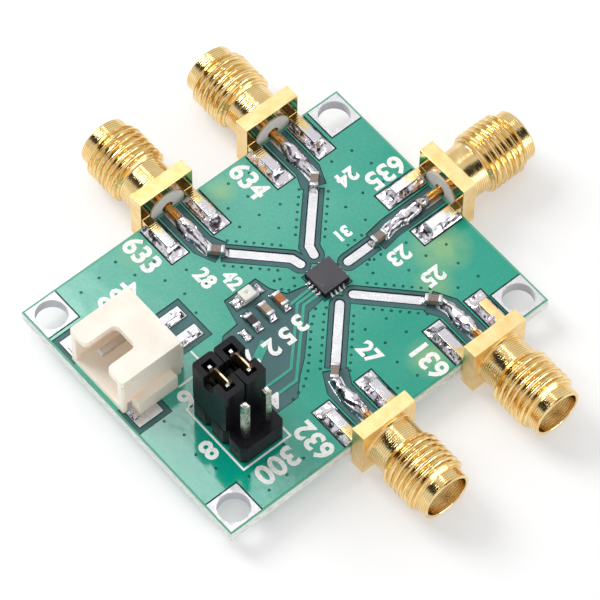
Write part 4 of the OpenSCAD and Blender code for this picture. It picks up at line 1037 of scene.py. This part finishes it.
def print_number(text, x, y, tall, angle, index):
    """Prints a number, whose digits fill DIGIT_SHARE of the font's height."""
    only()
    bpy.ops.object.text_add()
    word = bpy.context.object
    word.data.body = text
    word.data.size = tall * MM / DIGIT_SHARE
    word.data.align_x, word.data.align_y = "CENTER", "CENTER"
    word.data.offset = STROKE
    word.data.extrude = INK_T / 2
    word.data.resolution_u = 3
    bpy.ops.object.convert(target="MESH")
    word = bpy.context.object
    word.name = "number_%02d" % index
    word.data.transform(Matrix.Translation((x * MM, y * MM, PAD_TOP + INK_T / 2))
                        @ Matrix.Rotation(math.radians(angle), 4, "Z"))
    settle(word, ink, "print")


for index, row in enumerate(NUMBERS, 1):
    print_number(*row, index)

# Power socket: natural nylon, moulded with soft edges and a faint grain, on two tinned
# contacts and two anchors. Some light comes through its walls, and its hollows are painted
# warmer and a little darker, painted shade, with a faint painted glow.
nylon, tree, shader, mm = start_finish("natural_nylon", "#efe6d6", 0.42)
_, cream = patchy(tree, mm, 0.35, 3, (0.3, "#f5eadc"), (0.7, "#fbf5ea"))
# Painted shade and glow: occlusion tints the hollows warm and lights them faintly
shade = add(tree, "AmbientOcclusion", {"Distance": 3.0 * MM}, samples=8)
depth = add(tree, "MapRange", {"Value": shade.outputs["AO"], "From Min": 0.25, "From Max": 0.95})
hollow_painted_shade = add(tree, "Mix", {"Factor": depth, "A": linear("#f9e5ca"), "B": cream}, data_type="RGBA")
painted_glow = add(tree, "MapRange", {"Value": shade.outputs["AO"], "From Min": 0.2,
                  "From Max": 0.9, "To Min": 0.06, "To Max": 0.0})
spark = add(tree, "TexNoise", {"Vector": mm, "Scale": 12, "Detail": 4})
eroded = add(tree, "Bump", {"Height": spark, "Strength": 0.18, "Distance": 0.015 * MM})
feed(shader, {"Base Color": hollow_painted_shade, "Emission Strength": painted_glow,
     "Emission Color": linear("#f2f6ff"), "Normal": eroded, "Subsurface Weight": 0.35,
     "Subsurface Scale": 1.2 * MM})
SOCKET_ROUND = 0.12 * MM
rounded("power_socket_housing", "power_socket", SOCKET_ROUND, nylon, "nylon", segments=3)
for name in ("power_contact_1", "power_contact_2", "power_anchor_1", "power_anchor_2"):
    dress(name, tinned)

# Each tail of a contact lies in solder, and so do the feet of the anchors
TAIL_HALF, TAIL_TALL, TAIL_SKIN = 0.32 * MM, 0.5 * MM, 0.03 * MM
TAIL_SPREAD, TAIL_RAMP, TAIL_TIP = 0.2 * MM, 0.3 * MM, 0.55 * MM
TAIL_FROM, TAIL_L, TAIL_W = -10.4 * MM, 2.55 * MM, 1.34 * MM
FOOT_L, FOOT_W, FOOT_UNDER = 1.3 * MM, 1.0 * MM, 0.5 * MM


def tail_solder(start, way, length, width, seed):
    """Solder along the right side of a tail or a foot, as seen from its start."""
    def height(u, v):
        if v > 0:
            return 0
        beside = max(0, -v - TAIL_HALF)
        slope = TAIL_TALL * math.exp(-(beside / TAIL_SPREAD) ** 1.3) * min(1, u / TAIL_RAMP)
        slope *= 1 if u < length - TAIL_TIP else 0.25
        slope *= 0.75 + 0.4 * rough_noise(u, v, seed, 0.5 * MM)
        return (slope + TAIL_SKIN) * thin_out(min(length - u, width / 2 + v), 0.14 * MM)
    return solder_skin(start, way, length, width, height)


pools = []
for number in (1, 2):
    start = middle_of("power_contact_%d" % number, PAD_TOP)
    start.x = TAIL_FROM
    pools.append(tail_solder(start, Vector((1, 0, 0)), TAIL_L, TAIL_W, 70 + number))
    outward = Vector((0, 1 if number == 1 else -1, 0))
    foot = middle_of("power_anchor_%d" % number, PAD_TOP) - outward * FOOT_UNDER
    pools.append(tail_solder(foot, outward, FOOT_L, FOOT_W, 75 + number))
settle(joined(pools, "socket_solder"), solder, "tin")

# Pin header and jumper caps: glossy black plastic with square tinned pins and pale bronze
# clips.
header_plastic = black_moulding("glass_filled_polyester", "#0d0d12", "#191920", 0.36, 3.0,
                                0.22)
HEADER_ROUND, CAP_ROUND = 0.07 * MM, 0.09 * MM
rounded("header_base", "header_block", HEADER_ROUND, header_plastic, "moulding_black")
for number in (1, 2):
    rounded("jumper_cap_%d" % number, "jumper_body_%d" % number, CAP_ROUND, header_plastic,
            "moulding_black", "jumper_%d" % number, segments=3)

# The pins are drawn brass, tinned: bright, with long marks of the die and dull blotches
bright_pin, tree, shader, mm = start_finish("bright_tin_on_brass_pin", "#d6d2bf", 0.24, 1.0)
long_marks = add(tree, "Mapping", {"Vector": mm, "Scale": (6, 6, 0.8)})
drawn = add(tree, "TexNoise", {"Vector": long_marks, "Scale": 1.0, "Detail": 4})
scratch = add(tree, "Bump", {"Height": drawn, "Strength": 0.4, "Distance": 0.03 * MM})
_, dulled = patchy(tree, mm, 2.6, 4, (0.38, "#8f948c"), (0.52, "#e8e5da"))
feed(shader, {"Normal": scratch, "Base Color": dulled})
for number in range(1, 7):
    dress("header_pin_%d" % number, bright_pin)
# The clips are rolled bronze strip: pale, with a faint waviness
clip_bronze, tree, shader, mm = start_finish("pale_bronze_strip", "#ecd0ae", 0.28, 1.0)
rolled = add(tree, "TexNoise", {"Vector": mm, "Scale": 4.0, "Detail": 3})
strip_bump = add(tree, "Bump", {"Height": rolled, "Strength": 0.25, "Distance": 0.02 * MM})
feed(shader, {"Normal": strip_bump})
CLIP_T, CLIP_W, CLIP_SUNK = 0.18 * MM, 2.2 * MM, 0.05 * MM
STRIP_DROP, BODY_DROP = 1.7 * MM, 3.0 * MM
for number in (1, 2):
    name = "jumper_clip_%d" % number
    low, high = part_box(name)
    clip = copied(name, "clip_body_%d" % number)
    edit_all()
    bpy.ops.mesh.bisect(plane_co=(0, 0, high.z - BODY_DROP), plane_no=(0, 0, 1),
                        use_fill=True, clear_outer=True, threshold=CUT_GAP)
    to_mode("OBJECT")
    middle = (high.x - CLIP_T / 2, (low.y + high.y) / 2, high.z - STRIP_DROP / 2 - CLIP_SUNK)
    strip = block("strip", middle, (CLIP_T, CLIP_W, STRIP_DROP))
    settle(joined([strip, clip], "clip_%d" % number), clip_bronze, "clip", name,
           body="jumper_%d" % number)
